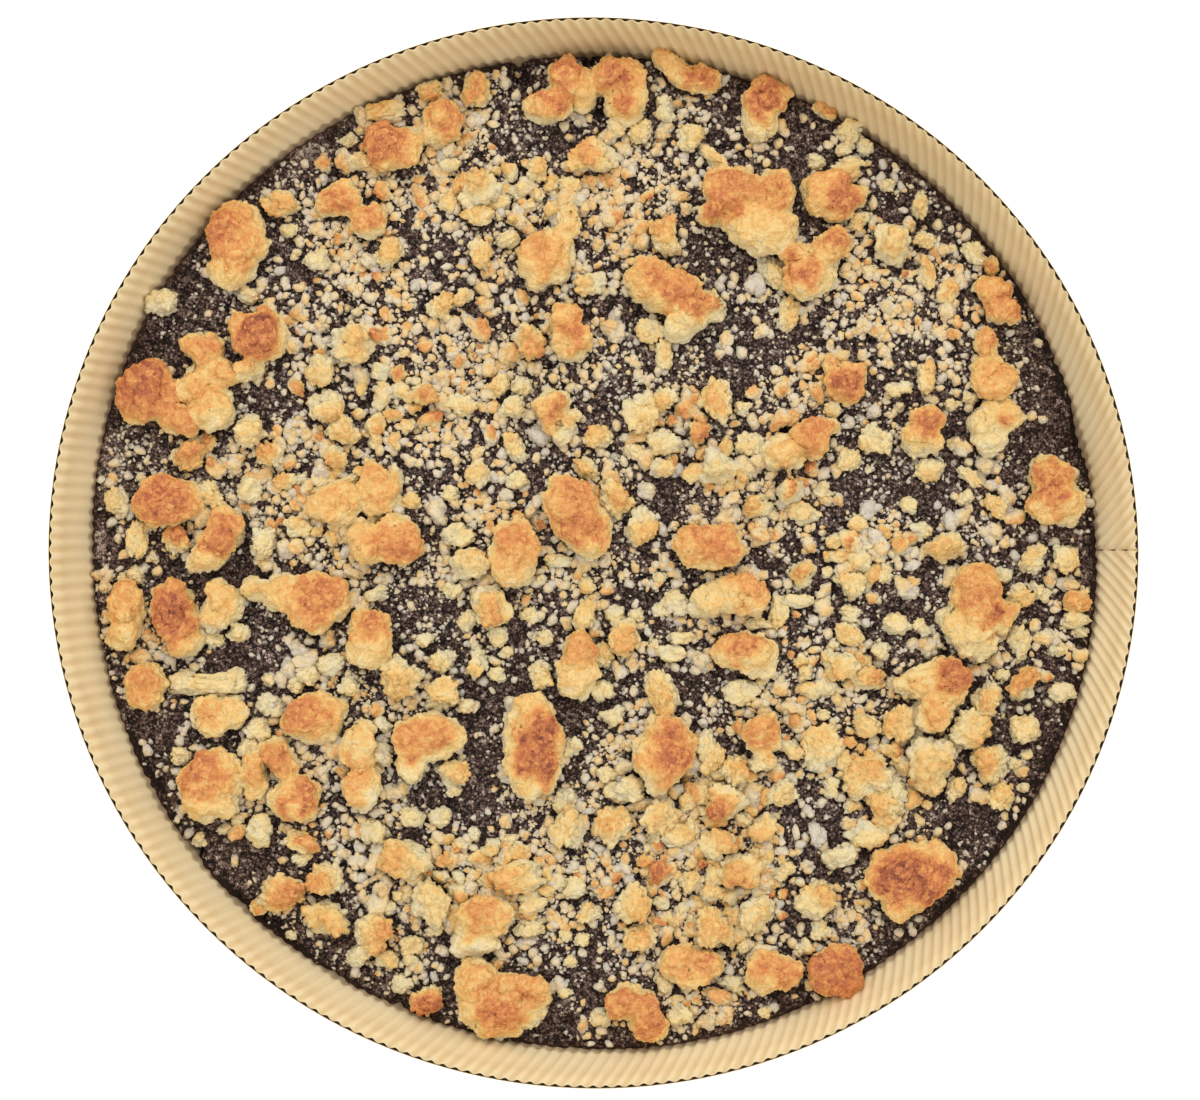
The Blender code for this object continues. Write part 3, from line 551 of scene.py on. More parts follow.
# Each lump: its rise above the cake in millimetres, its tone from 0 for pale to 1 for dark, its knobs as
# middle, longer and shorter side in pixels of the photograph and turn in degrees, and its browned spots as
# middle and reach in pixels and tone.
LUMPS = (
    (11, .30, ((237, 240, 82, 64, 98), (234, 268, 50, 46, 0)), ((218, 228, 36, .75), (240, 262, 24, .5))),
    (9, .30, ((394, 147, 60, 53, 0),), ((385, 140, 26, .85),)),
    (9, .25, ((441, 126, 52, 43, 78),), ((450, 120, 20, .65),)),
    (11, .36, ((567, 77, 50, 46, 90), (548, 103, 48, 38, 10), (583, 88, 46, 26, 90)),
     ((563, 62, 20, .8), (550, 100, 18, .8))),
    (11, .36, ((615, 78, 54, 46, 0), (622, 104, 42, 36, 0), (636, 82, 40, 24, 90)),
     ((615, 90, 20, .8), (620, 105, 16, .8))),
    (10, .25, ((547, 258, 62, 54, 62), (571, 218, 40, 28, 75), (535, 284, 30, 22, 0)),
     ((553, 250, 26, .5),)),
    (8, .25, ((342, 200, 46, 44, 0), (369, 222, 42, 38, 0)), ((340, 203, 18, .7), (372, 218, 16, .7))),
    (9, .25, ((698, 78, 42, 38, 0), (674, 67, 46, 28, -35)), ((698, 75, 22, .85),)),
    (10, .30, ((765, 98, 50, 44, 0), (761, 122, 44, 38, 90)), ((766, 95, 20, .85), (765, 108, 16, .85))),
    (12, .34, ((735, 192, 64, 50, 0), (774, 196, 42, 52, 0), (760, 228, 80, 54, -8), (716, 211, 30, 30, 0)),
     ((725, 180, 34, .65), (770, 185, 22, .6), (713, 170, 14, .8), (714, 210, 14, .8), (730, 212, 12, .75))),
    (10, .30, ((829, 198, 54, 54, 0), (853, 193, 34, 26, 0)), ((838, 200, 20, .8), (850, 185, 14, .8))),
    (11, .27, ((829, 249, 52, 44, 80), (803, 279, 48, 46, 0), (794, 254, 34, 28, 0), (822, 272, 40, 36, 0)),
     ((833, 235, 22, .75), (797, 272, 18, .75))),
    (11, .25, ((672, 292, 88, 50, -28), (648, 272, 56, 32, 12), (710, 304, 44, 34, -10),
               (683, 324, 44, 34, 0)), ((665, 285, 22, .7), (690, 295, 22, .7), (710, 300, 16, .7))),
    (8, .30, ((993, 290, 50, 30, -22), (1004, 308, 40, 36, 0)), ((1000, 298, 22, .6),)),
    (9, .44, ((990, 343, 36, 30, 90), (996, 375, 50, 46, 90), (988, 419, 44, 40, 20), (1008, 416, 44, 28, 90),
             (993, 441, 42, 32, 0)), ((987, 370, 24, .45), (1012, 415, 14, .65))),
    (9, .25, ((928, 421, 34, 34, 0), (922, 440, 44, 38, 0)), ((930, 420, 18, .8),)),
    (11, .25, ((1057, 502, 66, 48, 0), (1043, 474, 44, 34, 90), (1064, 483, 42, 40, 0)),
     ((1048, 477, 18, .75), (1033, 495, 16, .75), (1053, 497, 18, .75))),
    (11, .40, ((259, 336, 60, 56, 0), (240, 322, 30, 22, 90), (248, 368, 32, 24, 0)),
     ((258, 319, 26, 1.0), (257, 341, 24, .85))),
    (9, .38, ((203, 350, 46, 42, 0), (193, 381, 42, 36, 60), (222, 372, 36, 34, 0), (212, 408, 48, 44, 20)),
     ((205, 345, 20, .6), (206, 388, 22, .5))),
    (11, .54, ((146, 392, 66, 58, -15), (178, 421, 46, 34, -25)), ((150, 385, 30, .85),)),
    (10, .35, ((165, 500, 74, 56, 0),), ((160, 495, 32, .85),)),
    (10, .30, ((226, 533, 50, 38, 30), (203, 555, 46, 34, 35)), ((225, 533, 22, .75),)),
    (8, .27, ((337, 502, 56, 50, 0), (377, 490, 52, 44, 90)), ((340, 500, 22, .35), (377, 488, 20, .35))),
    (9, .30, ((568, 317, 36, 34, 0), (573, 338, 44, 38, -70)), ((574, 333, 20, .65),)),
    (9, .20, ((552, 402, 38, 36, 0), (558, 424, 40, 32, 90)), ((560, 412, 20, .65),)),
    (12, .30, ((577, 517, 94, 54, -63),), ((578, 485, 20, .7), (578, 525, 26, .7))),
    (10, .30, ((396, 541, 58, 52, 90), (372, 545, 46, 44, 0)), ((405, 550, 26, .75),)),
    (10, .30, ((514, 552, 70, 55, 90),), ((512, 540, 26, .6),)),
    (10, .24, ((814, 435, 46, 44, 0), (786, 456, 42, 38, 0), (790, 487, 32, 28, 0)),
     ((814, 435, 20, .65), (786, 456, 16, .35), (790, 487, 12, .6))),
    (9, .40, ((849, 382, 44, 42, 0), (834, 364, 26, 16, 110)), ((849, 382, 22, .9),)),
    (10, .30, ((706, 549, 66, 54, 0),), ((712, 540, 28, .65),)),
    (9, .32, ((120, 605, 52, 42, 90), (124, 632, 36, 36, 0)), ((120, 600, 24, .4),)),
    (11, .35, ((171, 613, 70, 50, 90), (180, 645, 36, 30, 0)), ((176, 613, 30, 1.0),)),
    (8, .15, ((217, 605, 54, 40, 100),), ((217, 603, 22, .3),)),
    (9, .30, ((144, 685, 54, 48, 90),), ((144, 685, 24, .5),)),
    (8, .20, ((216, 716, 61, 41, 5),), ((205, 708, 22, .45),)),
    (11, .32, ((316, 600, 68, 66, 0), (285, 594, 58, 40, -20), (260, 588, 34, 18, -15)),
     ((314, 585, 24, .75), (320, 608, 22, .7))),
    (9, .25, ((371, 637, 58, 54, 90),), ((370, 618, 22, .75),)),
    (10, .40, ((315, 718, 66, 56, 0),), ((305, 703, 26, .75),)),
    (9, .20, ((360, 744, 62, 40, 90), (362, 790, 54, 40, 90)), ((355, 770, 20, .45), (354, 789, 18, .4))),
    (11, .32, ((211, 778, 68, 54, 0), (208, 804, 54, 44, 0), (254, 775, 46, 28, 90)),
     ((198, 765, 28, .75), (254, 775, 16, .55))),
    (9, .38, ((280, 760, 48, 34, -60), (294, 797, 56, 46, 20)),
     ((280, 760, 18, .7), (312, 788, 14, .8), (300, 803, 14, .8))),
    (11, .20, ((430, 738, 78, 52, 8), (414, 765, 46, 34, 90)),
     ((413, 735, 20, .6), (408, 750, 16, .6), (440, 735, 20, .55))),
    (12, .25, ((533, 746, 108, 64, 88),), ((541, 730, 22, 1.0), (540, 764, 22, .95))),
    (9, .25, ((579, 665, 62, 46, 85),), ((585, 642, 22, .5),)),
    (9, .20, ((736, 595, 68, 46, 5), (708, 599, 40, 38, 0)), ((752, 582, 24, .55),)),
    (9, .22, ((747, 651, 74, 46, -18),), ((735, 640, 22, .7),)),
    (12, .20, ((667, 752, 84, 54, 80), (645, 757, 50, 36, 90)), ((673, 753, 32, .85),)),
    (9, .20, ((763, 735, 46, 44, 90), (762, 760, 34, 30, 0)), ((764, 730, 20, .65),)),
    (12, .29, ((975, 598, 68, 62, 90), (966, 622, 60, 54, 0), (1001, 614, 36, 38, 0), (976, 646, 46, 32, 0)),
     ((1005, 613, 22, .95), (978, 595, 24, .6))),
    (11, .27, ((946, 682, 64, 44, 100), (935, 713, 42, 40, 0), (915, 683, 42, 38, 0)),
     ((952, 682, 18, .8), (945, 668, 16, .8), (935, 713, 16, .4))),
    (12, .36, ((906, 880, 84, 66, 0), (938, 869, 46, 40, 0), (900, 900, 48, 38, 0), (918, 860, 52, 40, 0)),
     ((897, 868, 30, 1.0), (919, 880, 24, 1.0))),
    (11, .28, ((478, 981, 50, 48, 0), (500, 1012, 88, 52, 0), (530, 993, 46, 40, 0), (507, 986, 40, 34, 0)),
     ((478, 981, 18, .4), (500, 1012, 28, .75), (530, 993, 18, .6))),
    (9, .42, ((649, 1017, 58, 36, 90), (628, 1001, 42, 36, 0)), ((650, 1030, 20, .8),)),
    (9, .30, ((691, 965, 62, 50, -10),), ((702, 962, 26, .6),)),
    (9, .25, ((774, 973, 62, 44, 0),), ((765, 960, 18, .65), (780, 975, 20, .65))),
    (10, .56, ((836, 972, 58, 54, -20),), ((840, 958, 20, .8), (850, 985, 18, .8))),
    (9, .15, ((484, 920, 64, 42, 0), (478, 945, 48, 26, 0)), ((485, 912, 24, .5),)),
)
LUMP_VOXEL = 0.46
LUMP_CENTRE = 0.4                   # height of a knob's middle above the cake, as a share of its rise
LEAST_RISE = 0.6                    # of a knob that has no width, as a share of its lump's
SKIN = 0.6                          # how far the grains stand out of a knob
FLATTENING = 3.0                    # 2 would make a knob's top round, more makes it flatter
GRAIN_SIZES = (0.5, 1.5)            # radii of the grains that crust a lump
GRAIN_SPACE = 4.0                   # square millimetres of a knob's skin to each grain
GRAIN_STAND = 0.5                   # how far out of the skin a grain stands, as a share of its radius
GRAIN_EVENNESS = (0.8, 1.25)        # a grain's least and greatest stretch along each axis
LUMP_SWAYS = ((8.0, 2.6), (3.4, 1.3))    # length and height of the dents in a lump
LUMP_GRAINS = ((2.2, 0.4), (1.2, 0.3))   # size and height of the grains of its skin
BODY_TONE = 0.13                    # added to a lump's tone of the table
TONE_SLOPE = 0.012                  # and for each millimetre towards the top of the picture
SPOT_WANDER = 5.0                   # how far a browned spot's edge strays, and over which length
SPOT_FADE = (1.55, 1.3)             # where a spot ends, and how wide it fades, as shares of its reach
PALE_FOOT = (0.78, 0.5, 0.65)       # a lump pales below this share of its rise, over this share, by this much
SPOT_TONE = (0.26, 0.54)            # a browned spot's tone where the table has 0, and what 1 adds
BUTTER_STOPS = ((0.0, (216, 207, 180)), (0.1, (233, 219, 178)), (0.22, (243, 219, 159)),
                (0.36, (243, 200, 123)), (0.5, (236, 171, 97)), (0.64, (219, 139, 79)),
                (0.78, (193, 111, 68)), (0.9, (158, 86, 54)), (1.0, (120, 64, 42)))


def arrays_of(bm):
    """The corners and triangles of a bmesh as arrays, of which copies are joined quickly."""
    bmesh.ops.triangulate(bm, faces=bm.faces)
    bm.verts.index_update()
    points = numpy.array([vert.co[:] for vert in bm.verts])
    faces = numpy.array([[vert.index for vert in face.verts] for face in bm.faces])
    bm.free()
    return points, faces


def ball_shape(fineness):
    """A ball of radius 1."""
    bm = bmesh.new()
    bmesh.ops.create_icosphere(bm, subdivisions=fineness, radius=1)
    return arrays_of(bm)


def knob_shape():
    """A ball of radius 1 with a flattened top and steeper sides."""
    points, faces = ball_shape(4)
    height = numpy.abs(points[:, 2]).clip(0, 0.999)
    widening = numpy.sqrt((1 - height ** FLATTENING) / (1 - height ** 2))
    points[:, 0] *= widening
    points[:, 1] *= widening
    return points, faces


def joined(name, copies):
    """One mesh of many copies, each of them a shape, a matrix that scales and turns it, and a middle."""
    points = []
    faces = []
    start = 0
    for (shape_points, shape_faces), move, middle in copies:
        points.append(shape_points @ numpy.array(move).T + numpy.array(middle))
        faces.append(shape_faces + start)
        start += len(shape_points)
    mesh = bpy.data.meshes.new(name)
    mesh.from_pydata(numpy.concatenate(points).tolist(), [], numpy.concatenate(faces).tolist())
    return mesh


def crust(middle, radii, turn, draw):
    """Grains set into the skin of a knob."""
    area = math.tau * (radii[0] * radii[1] + max(radii[:2]) * radii[2])
    rotation = Matrix.Rotation(turn, 3, "Z")
    grains = []
    for _ in range(round(area / GRAIN_SPACE)):
        way = Vector((draw.gauss(0, 1), draw.gauss(0, 1), draw.gauss(0, 0.8) + 0.3)).normalized()
        size = draw.uniform(*GRAIN_SIZES)
        skin = Vector((way.x * radii[0], way.y * radii[1], way.z * radii[2]))
        spot = middle + rotation @ (skin - way * size * (1 - GRAIN_STAND))
        uneven = Matrix.Diagonal([size * draw.uniform(*GRAIN_EVENNESS) for _ in range(3)])
        grains.append((grain_ball, Matrix.Rotation(draw.uniform(0, math.tau), 3, "Z") @ uneven, spot))
    return grains


def fuse(mesh, voxel, softness):
    """Melts overlapping shapes into one skin by remeshing them at a voxel size, then smooths it."""
    rough = linked(mesh.name, mesh)
    remesh = rough.modifiers.new("Fuse", "REMESH")
    remesh.mode = "VOXEL"
    remesh.voxel_size = voxel
    soften = rough.modifiers.new("Soften", "SMOOTH")
    soften.factor = 0.5
    soften.iterations = softness
    fused = bpy.data.meshes.new_from_object(rough.evaluated_get(bpy.context.evaluated_depsgraph_get()))
    bpy.data.objects.remove(rough)
    bpy.data.meshes.remove(mesh)
    return fused


def roughen(mesh, sways, grains):
    """Sways a mesh's skin in and out, then parts it into grains, each with its size and height."""
    bm = bmesh.new()
    bm.from_mesh(mesh)
    for length, height in sways:
        bm.normal_update()
        for vert in bm.verts:
            vert.co += vert.normal * (noise.noise(vert.co / length) * height)
    for size, height in grains:
        bm.normal_update()
        for vert in bm.verts:
            nearest, second = noise.voronoi(vert.co / size)[0][:2]
            vert.co += vert.normal * (height * (min(1.0, (second - nearest) * 2.5) - 0.6))
    bm.to_mesh(mesh)
    bm.free()


def make_lump(number, row, draw):
    """One large lump with the tone of each corner of its mesh."""
    rise, tone, knobs, spots = row
    copies = []
    widest = max(knob[3] for knob in knobs)
    for x, y, long, short, turn in knobs:
        here_x, here_y, pixel = place(x, y, LUMP_DEPTH)
        here_rise = rise * (LEAST_RISE + (1 - LEAST_RISE) * short / widest)
        ground = cake_level(here_x, here_y)
        middle = Vector((here_x, here_y, ground + LUMP_CENTRE * here_rise))
        radii = (long * pixel / 2 - SKIN, short * pixel / 2 - SKIN, (1 - LUMP_CENTRE) * here_rise - SKIN)
        turn = math.radians(turn)
        copies.append((knob_ball, Matrix.Rotation(turn, 3, "Z") @ Matrix.Diagonal(radii), middle))
        copies += crust(middle, radii, turn, draw)
    mesh = fuse(joined(f"lump_{number:02d}", copies), LUMP_VOXEL, 1)
    roughen(mesh, LUMP_SWAYS, LUMP_GRAINS)
    brown = [(*place(x, y, LUMP_DEPTH), reach, strength) for x, y, reach, strength in spots]
    middle = copies[0][2]
    ground = cake_level(middle.x, middle.y)
    tones = []
    for vert in mesh.vertices:
        value = BODY_TONE + tone + TONE_SLOPE * (vert.co.y - middle.y)
        spot = vert.co / SPOT_WANDER
        wander = SPOT_WANDER * Vector((noise.noise(spot), noise.noise(spot + Vector((9, 0, 0)))))
        for x, y, pixel, reach, strength in brown:
            away = math.hypot(vert.co.x + wander.x - x, vert.co.y + wander.y - y) / (reach * pixel)
            share = limited((SPOT_FADE[0] - away) / SPOT_FADE[1])
            brown_tone = SPOT_TONE[0] + SPOT_TONE[1] * strength
            value = max(value, value + (brown_tone - value) * share * share * (3 - 2 * share))
        pale = limited((PALE_FOOT[0] - (vert.co.z - ground) / rise) / PALE_FOOT[1])
        tones.append(value * (1 - PALE_FOOT[2] * pale))
    mark_all(mesh, {"tone": tones})
    return mesh


def butter_finish(name, stops):
    """Baked butter crumb: pale in the folds, golden above, freckled with red brown where it caught."""
    butter = Finish(name, 0.78)
    tone = butter.attribute("tone")
    speckle = butter.channel(butter.grains(1.15, "Color"), 0)
    fine = butter.noise(0.6, detail=3, roughness=0.65)
    soft = butter.noise(3.0, detail=2)
    spread = (speckle - 0.5) * 0.45 + (fine - 0.5) * 0.75
    value = tone + (soft - 0.5) * 0.25 + spread * (tone * tone * 0.85 + 0.16)
    butter.colour(butter.ramp(value.clamped(), stops))
    grain = 1 - butter.grains(0.85)
    butter.bump(grain * 0.7 + fine * 0.8, 0.5)
    return butter.material


baked_butter = butter_finish("baked_butter", BUTTER_STOPS)
grain_ball = ball_shape(2)
knob_ball = knob_shape()
lump_draw = random.Random(3)
for number, lump_row in enumerate(LUMPS, start=1):
    lump_mesh = make_lump(number, lump_row, lump_draw)
    lump = add_piece(f"streusel_lump_{number:02d}", lump_mesh, "baked_streusel", baked_butter)
    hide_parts(f"streusel_{number:02d}")


# The crumbs: smaller lumps down to dust, scattered over the filling and heaped in places. The larger ones
# are where the photograph shows them, and the finer ones fall by a seeded rule, thick or thin as shown.

CRUMB_DEPTH = 17.0

# Middle, longer and shorter side in pixels of the photograph, turn in degrees, and tone.
CRUMBS = (
    (476, 92, 40, 34, 80, .5), (595, 157, 55, 37, 8, .45), (890, 245, 44, 42, 0, .2),
    (665, 234, 44, 34, 90, .5), (926, 376, 37, 24, 85, .3), (946, 547, 40, 38, 0, .35),
    (189, 456, 44, 34, 40, .6), (357, 345, 52, 42, 0, .3), (328, 408, 42, 38, 90, .25),
    (344, 430, 36, 32, -30, .25), (529, 343, 43, 38, 0, .5), (613, 500, 40, 36, -60, .4),
    (643, 526, 48, 30, 88, .35), (470, 563, 42, 40, 0, .2), (640, 414, 50, 38, 90, .1),
    (718, 400, 48, 36, 90, .4), (876, 441, 37, 34, 90, .15), (402, 676, 48, 46, 0, .3),
    (492, 606, 48, 44, 80, .4), (624, 638, 40, 38, 0, .45), (605, 656, 30, 28, 0, .2),
    (710, 752, 44, 30, 100, .2), (735, 768, 34, 34, 0, .35), (725, 804, 46, 42, 0, .7),
    (822, 749, 52, 44, 60, .2), (866, 776, 58, 40, 20, .4), (887, 798, 44, 40, 0, .3),
    (1021, 684, 50, 34, 60, .5), (986, 698, 40, 32, -45, .25), (970, 727, 44, 40, 0, .35),
    (985, 763, 44, 40, 0, .4), (930, 761, 62, 54, 90, .25), (899, 722, 44, 34, 90, .3),
    (427, 1001, 35, 34, 0, .85), (817, 897, 46, 44, 0, .35), (405, 858, 54, 44, 0, .4),
    (431, 903, 56, 42, 90, .15), (517, 876, 60, 36, 10, .4), (330, 918, 54, 38, 0, .3),
    (283, 891, 56, 40, 10, .6), (326, 878, 38, 38, 0, .45), (374, 931, 44, 42, 0, .45),
    (637, 901, 46, 38, 90, .35), (640, 936, 36, 34, 0, .4), (740, 870, 48, 42, 0, .45),
    (661, 818, 46, 42, 90, .3), (714, 925, 46, 38, 90, .35), (755, 914, 42, 38, 60, .2),
    (612, 822, 46, 36, 80, .45), (567, 828, 52, 34, 90, .15), (663, 690, 58, 36, -80, .3),
    (282, 205, 41, 30, 0, .4), (165, 304, 38, 32, 30, 0), (250, 432, 45, 34, 0, .15),
    (271, 455, 30, 28, 0, .5), (285, 481, 28, 22, 0, .35), (207, 444, 28, 20, 90, .5),
    (385, 112, 47, 25, 5, .3), (430, 91, 26, 24, 0, .45), (360, 163, 28, 26, 0, .15),
    (383, 192, 24, 22, 0, .5), (390, 254, 38, 30, -30, .3), (481, 254, 32, 26, -70, .25),
    (480, 190, 48, 40, 60, .3), (478, 217, 34, 24, 0, .25), (508, 240, 28, 22, 0, .1),
    (537, 170, 26, 24, 0, .3), (572, 185, 26, 22, 0, .2), (640, 133, 26, 26, 0, .15),
    (616, 128, 24, 22, 0, .1), (664, 109, 30, 26, -40, 0), (691, 138, 30, 30, 0, .2),
    (713, 158, 38, 22, -40, .15), (825, 112, 28, 22, -30, .5), (848, 132, 30, 24, 0, .15),
    (847, 168, 34, 24, 0, .2), (858, 222, 26, 20, 0, .2), (772, 275, 42, 24, -60, .1),
    (788, 314, 34, 26, 90, .2), (591, 284, 34, 30, 0, .2), (440, 306, 30, 28, 0, .3),
    (463, 298, 24, 22, 0, .2), (649, 331, 30, 28, 0, .2), (664, 354, 32, 22, 90, .15),
    (923, 240, 24, 20, 0, .2), (928, 272, 36, 18, 95, .4), (949, 292, 30, 26, 30, .35),
    (974, 253, 30, 24, -40, 0), (991, 265, 26, 18, 110, .5), (920, 206, 30, 20, 90, .15),
    (321, 371, 36, 30, 90, .25), (336, 458, 30, 26, 0, .35), (424, 395, 32, 28, 0, .5),
    (463, 406, 36, 24, -15, .15), (497, 387, 30, 26, 60, .2), (512, 407, 28, 26, 0, .1),
    (597, 437, 38, 28, -25, .35), (514, 448, 34, 22, -60, .25), (478, 474, 38, 24, 65, .2),
    (588, 468, 32, 22, -50, .25), (663, 441, 34, 30, 0, .05), (661, 468, 30, 24, 0, .15),
    (698, 434, 32, 28, 60, .7), (664, 399, 28, 26, 0, .25), (750, 444, 32, 26, -20, .1),
    (757, 506, 38, 24, 10, .4), (802, 513, 36, 26, 0, .15), (832, 409, 22, 18, 0, .1),
    (848, 459, 30, 22, 60, .1), (930, 470, 36, 24, 0, .2), (970, 476, 38, 18, -40, .15),
    (997, 506, 32, 20, -60, .25), (1032, 557, 36, 24, 65, .15), (1067, 559, 34, 28, 90, .15),
    (1076, 600, 30, 28, 0, .45), (1021, 595, 30, 26, 0, .35), (1020, 642, 40, 26, 80, .1),
    (1023, 728, 36, 28, 90, .15), (1000, 797, 32, 28, -50, .25), (954, 788, 30, 20, 70, .15),
    (803, 574, 32, 28, 90, .4), (852, 584, 30, 26, 0, .15), (850, 634, 34, 24, -30, .25),
    (840, 666, 40, 34, 0, .3), (867, 677, 34, 30, 0, .45), (867, 726, 34, 30, 0, .2),
    (780, 612, 42, 22, 80, .1), (265, 543, 36, 32, 0, 0), (298, 527, 32, 24, 0, .15),
    (212, 494, 34, 26, -40, .2), (116, 502, 36, 26, -60, .1), (137, 540, 44, 24, 95, .15),
    (175, 539, 34, 28, 90, .7), (209, 684, 76, 28, 0, .1), (443, 692, 38, 32, 45, .25),
    (442, 661, 30, 26, 0, .15), (477, 664, 32, 24, 90, .2), (540, 675, 34, 28, 0, .1),
    (454, 772, 36, 26, 0, .25), (585, 616, 36, 28, 70, .25), (884, 820, 32, 28, 0, .3),
    (782, 792, 36, 28, 30, .15), (303, 843, 42, 26, -15, .5),
)

# Smaller ones, unturned: longer and shorter side and tone, then the middles of those that are alike.
SMALL_KINDS = (
    (52, 40, .15, (715, 468)), (40, 34, .4, (718, 842)), (44, 30, .2, (866, 835)), (40, 30, 0, (842, 855)),
    (40, 30, .1, (740, 693)), (44, 24, .3, (675, 835)), (34, 30, .1, (262, 831), (631, 790)), (34, 30, .35,
      (764, 828)), (36, 26, .2, (532, 903)), (32, 28, .1, (375, 832)), (34, 26, .1, (458, 535)),
    (32, 26, .25, (692, 881)), (30, 26, .1, (250, 490), (257, 730), (182, 680), (565, 800)), (30, 26, 0,
      (380, 755)), (30, 26, .1, (675, 603)), (32, 24, .1, (894, 625)), (34, 22, .1, (530, 928)),
    (28, 25, .1, (320, 260)), (28, 25, 0, (270, 705)), (28, 25, .1, (330, 664), (236, 680)), (28, 25, 0,
      (357, 955)), (28, 25, .25, (587, 912)), (28, 25, .1, (680, 1014)), (34, 20, 0, (730, 985)),
    (30, 22, .25, (790, 750)), (30, 22, 0, (1061, 693)), (27, 24, .1, (307, 674)), (32, 20, .1, (671, 652)),
    (26, 23, .1, (238, 632), (261, 824), (412, 817), (440, 817), (497, 637), (572, 748), (603, 690),
      (612, 715)), (26, 23, .25, (410, 945)), (26, 23, .1, (574, 888)), (26, 23, .25, (712, 890)),
    (26, 23, .1, (522, 385)), (32, 18, .1, (1075, 620)), (36, 16, .1, (798, 600)), (28, 20, .1, (818, 929),
      (898, 388)), (25, 22, .1, (600, 1017)), (30, 18, .1, (680, 638)), (26, 20, .1, (518, 480)),
    (24, 21, .1, (250, 295), (348, 687), (180, 757), (248, 748), (376, 593), (468, 620), (615, 615)),
    (24, 21, .25, (387, 961)), (24, 21, 0, (402, 985)), (24, 21, .2, (785, 872)), (28, 18, .1, (848, 613)),
    (24, 21, .1, (922, 530), (635, 452)), (34, 14, .1, (760, 625)), (28, 17, .1, (559, 560)), (22, 19, .1,
      (135, 575), (349, 141), (294, 685), (213, 640)), (22, 19, .5, (257, 908)), (22, 19, .1, (453, 590),
      (530, 615), (605, 775)), (22, 19, .2, (805, 947)), (22, 19, .1, (922, 627), (1003, 575), (880, 650),
      (910, 505), (824, 490)), (22, 19, .3, (412, 501)), (22, 19, .1, (450, 165)), (20, 18, .1, (290, 231),
      (270, 678), (200, 841), (302, 857), (466, 705), (497, 675), (545, 638)), (20, 18, .35, (586, 586)),
    (20, 18, .1, (612, 790)), (20, 18, 0, (383, 725)), (20, 18, .1, (664, 985), (744, 945), (661, 610),
      (1044, 594)), (20, 18, .2, (1044, 638)), (20, 18, .1, (1060, 650), (742, 408), (450, 494), (575, 415),
      (845, 150), (865, 148), (816, 162)), (19, 17, .1, (425, 640), (966, 498)), (18, 16, .1, (637, 615),
      (453, 790), (387, 908), (410, 960), (583, 940), (813, 693)), (18, 16, .3, (1081, 655)), (18, 16, .1,
      (1014, 765), (883, 577), (970, 398), (888, 186)), (22, 11, .1, (869, 269)), (16, 14, .1, (237, 820),
      (507, 652), (435, 930), (565, 935), (571, 962), (565, 993), (766, 1012), (660, 577)), (16, 14, 0,
      (1083, 632)), (16, 14, .1, (1003, 675), (950, 405)), (15, 13, .1, (762, 683), (833, 782), (823, 714)),
    (15, 13, 0, (1023, 788)), (14, 12, .1, (119, 578)), (14, 12, 0, (291, 936)), (14, 12, .1, (541, 580),
      (655, 645), (1027, 755), (827, 572)), (12, 11, .1, (731, 731)),
)
SMALL_CRUMBS = tuple((x, y, long, short, 0, tone)
                     for long, short, tone, *middles in SMALL_KINDS for x, y in middles)

# Places that are strewn with a closed carpet of crumbs: middle, width and height in pixels.
CARPETS = (
    (505, 195, 110, 56), (390, 405, 84, 74), (350, 500, 112, 74), (883, 775, 118, 80), (715, 870, 140, 130),
    (480, 880, 150, 90), (865, 555, 70, 60), (835, 672, 70, 56), (715, 468, 56, 40), (735, 792, 70, 44),
)

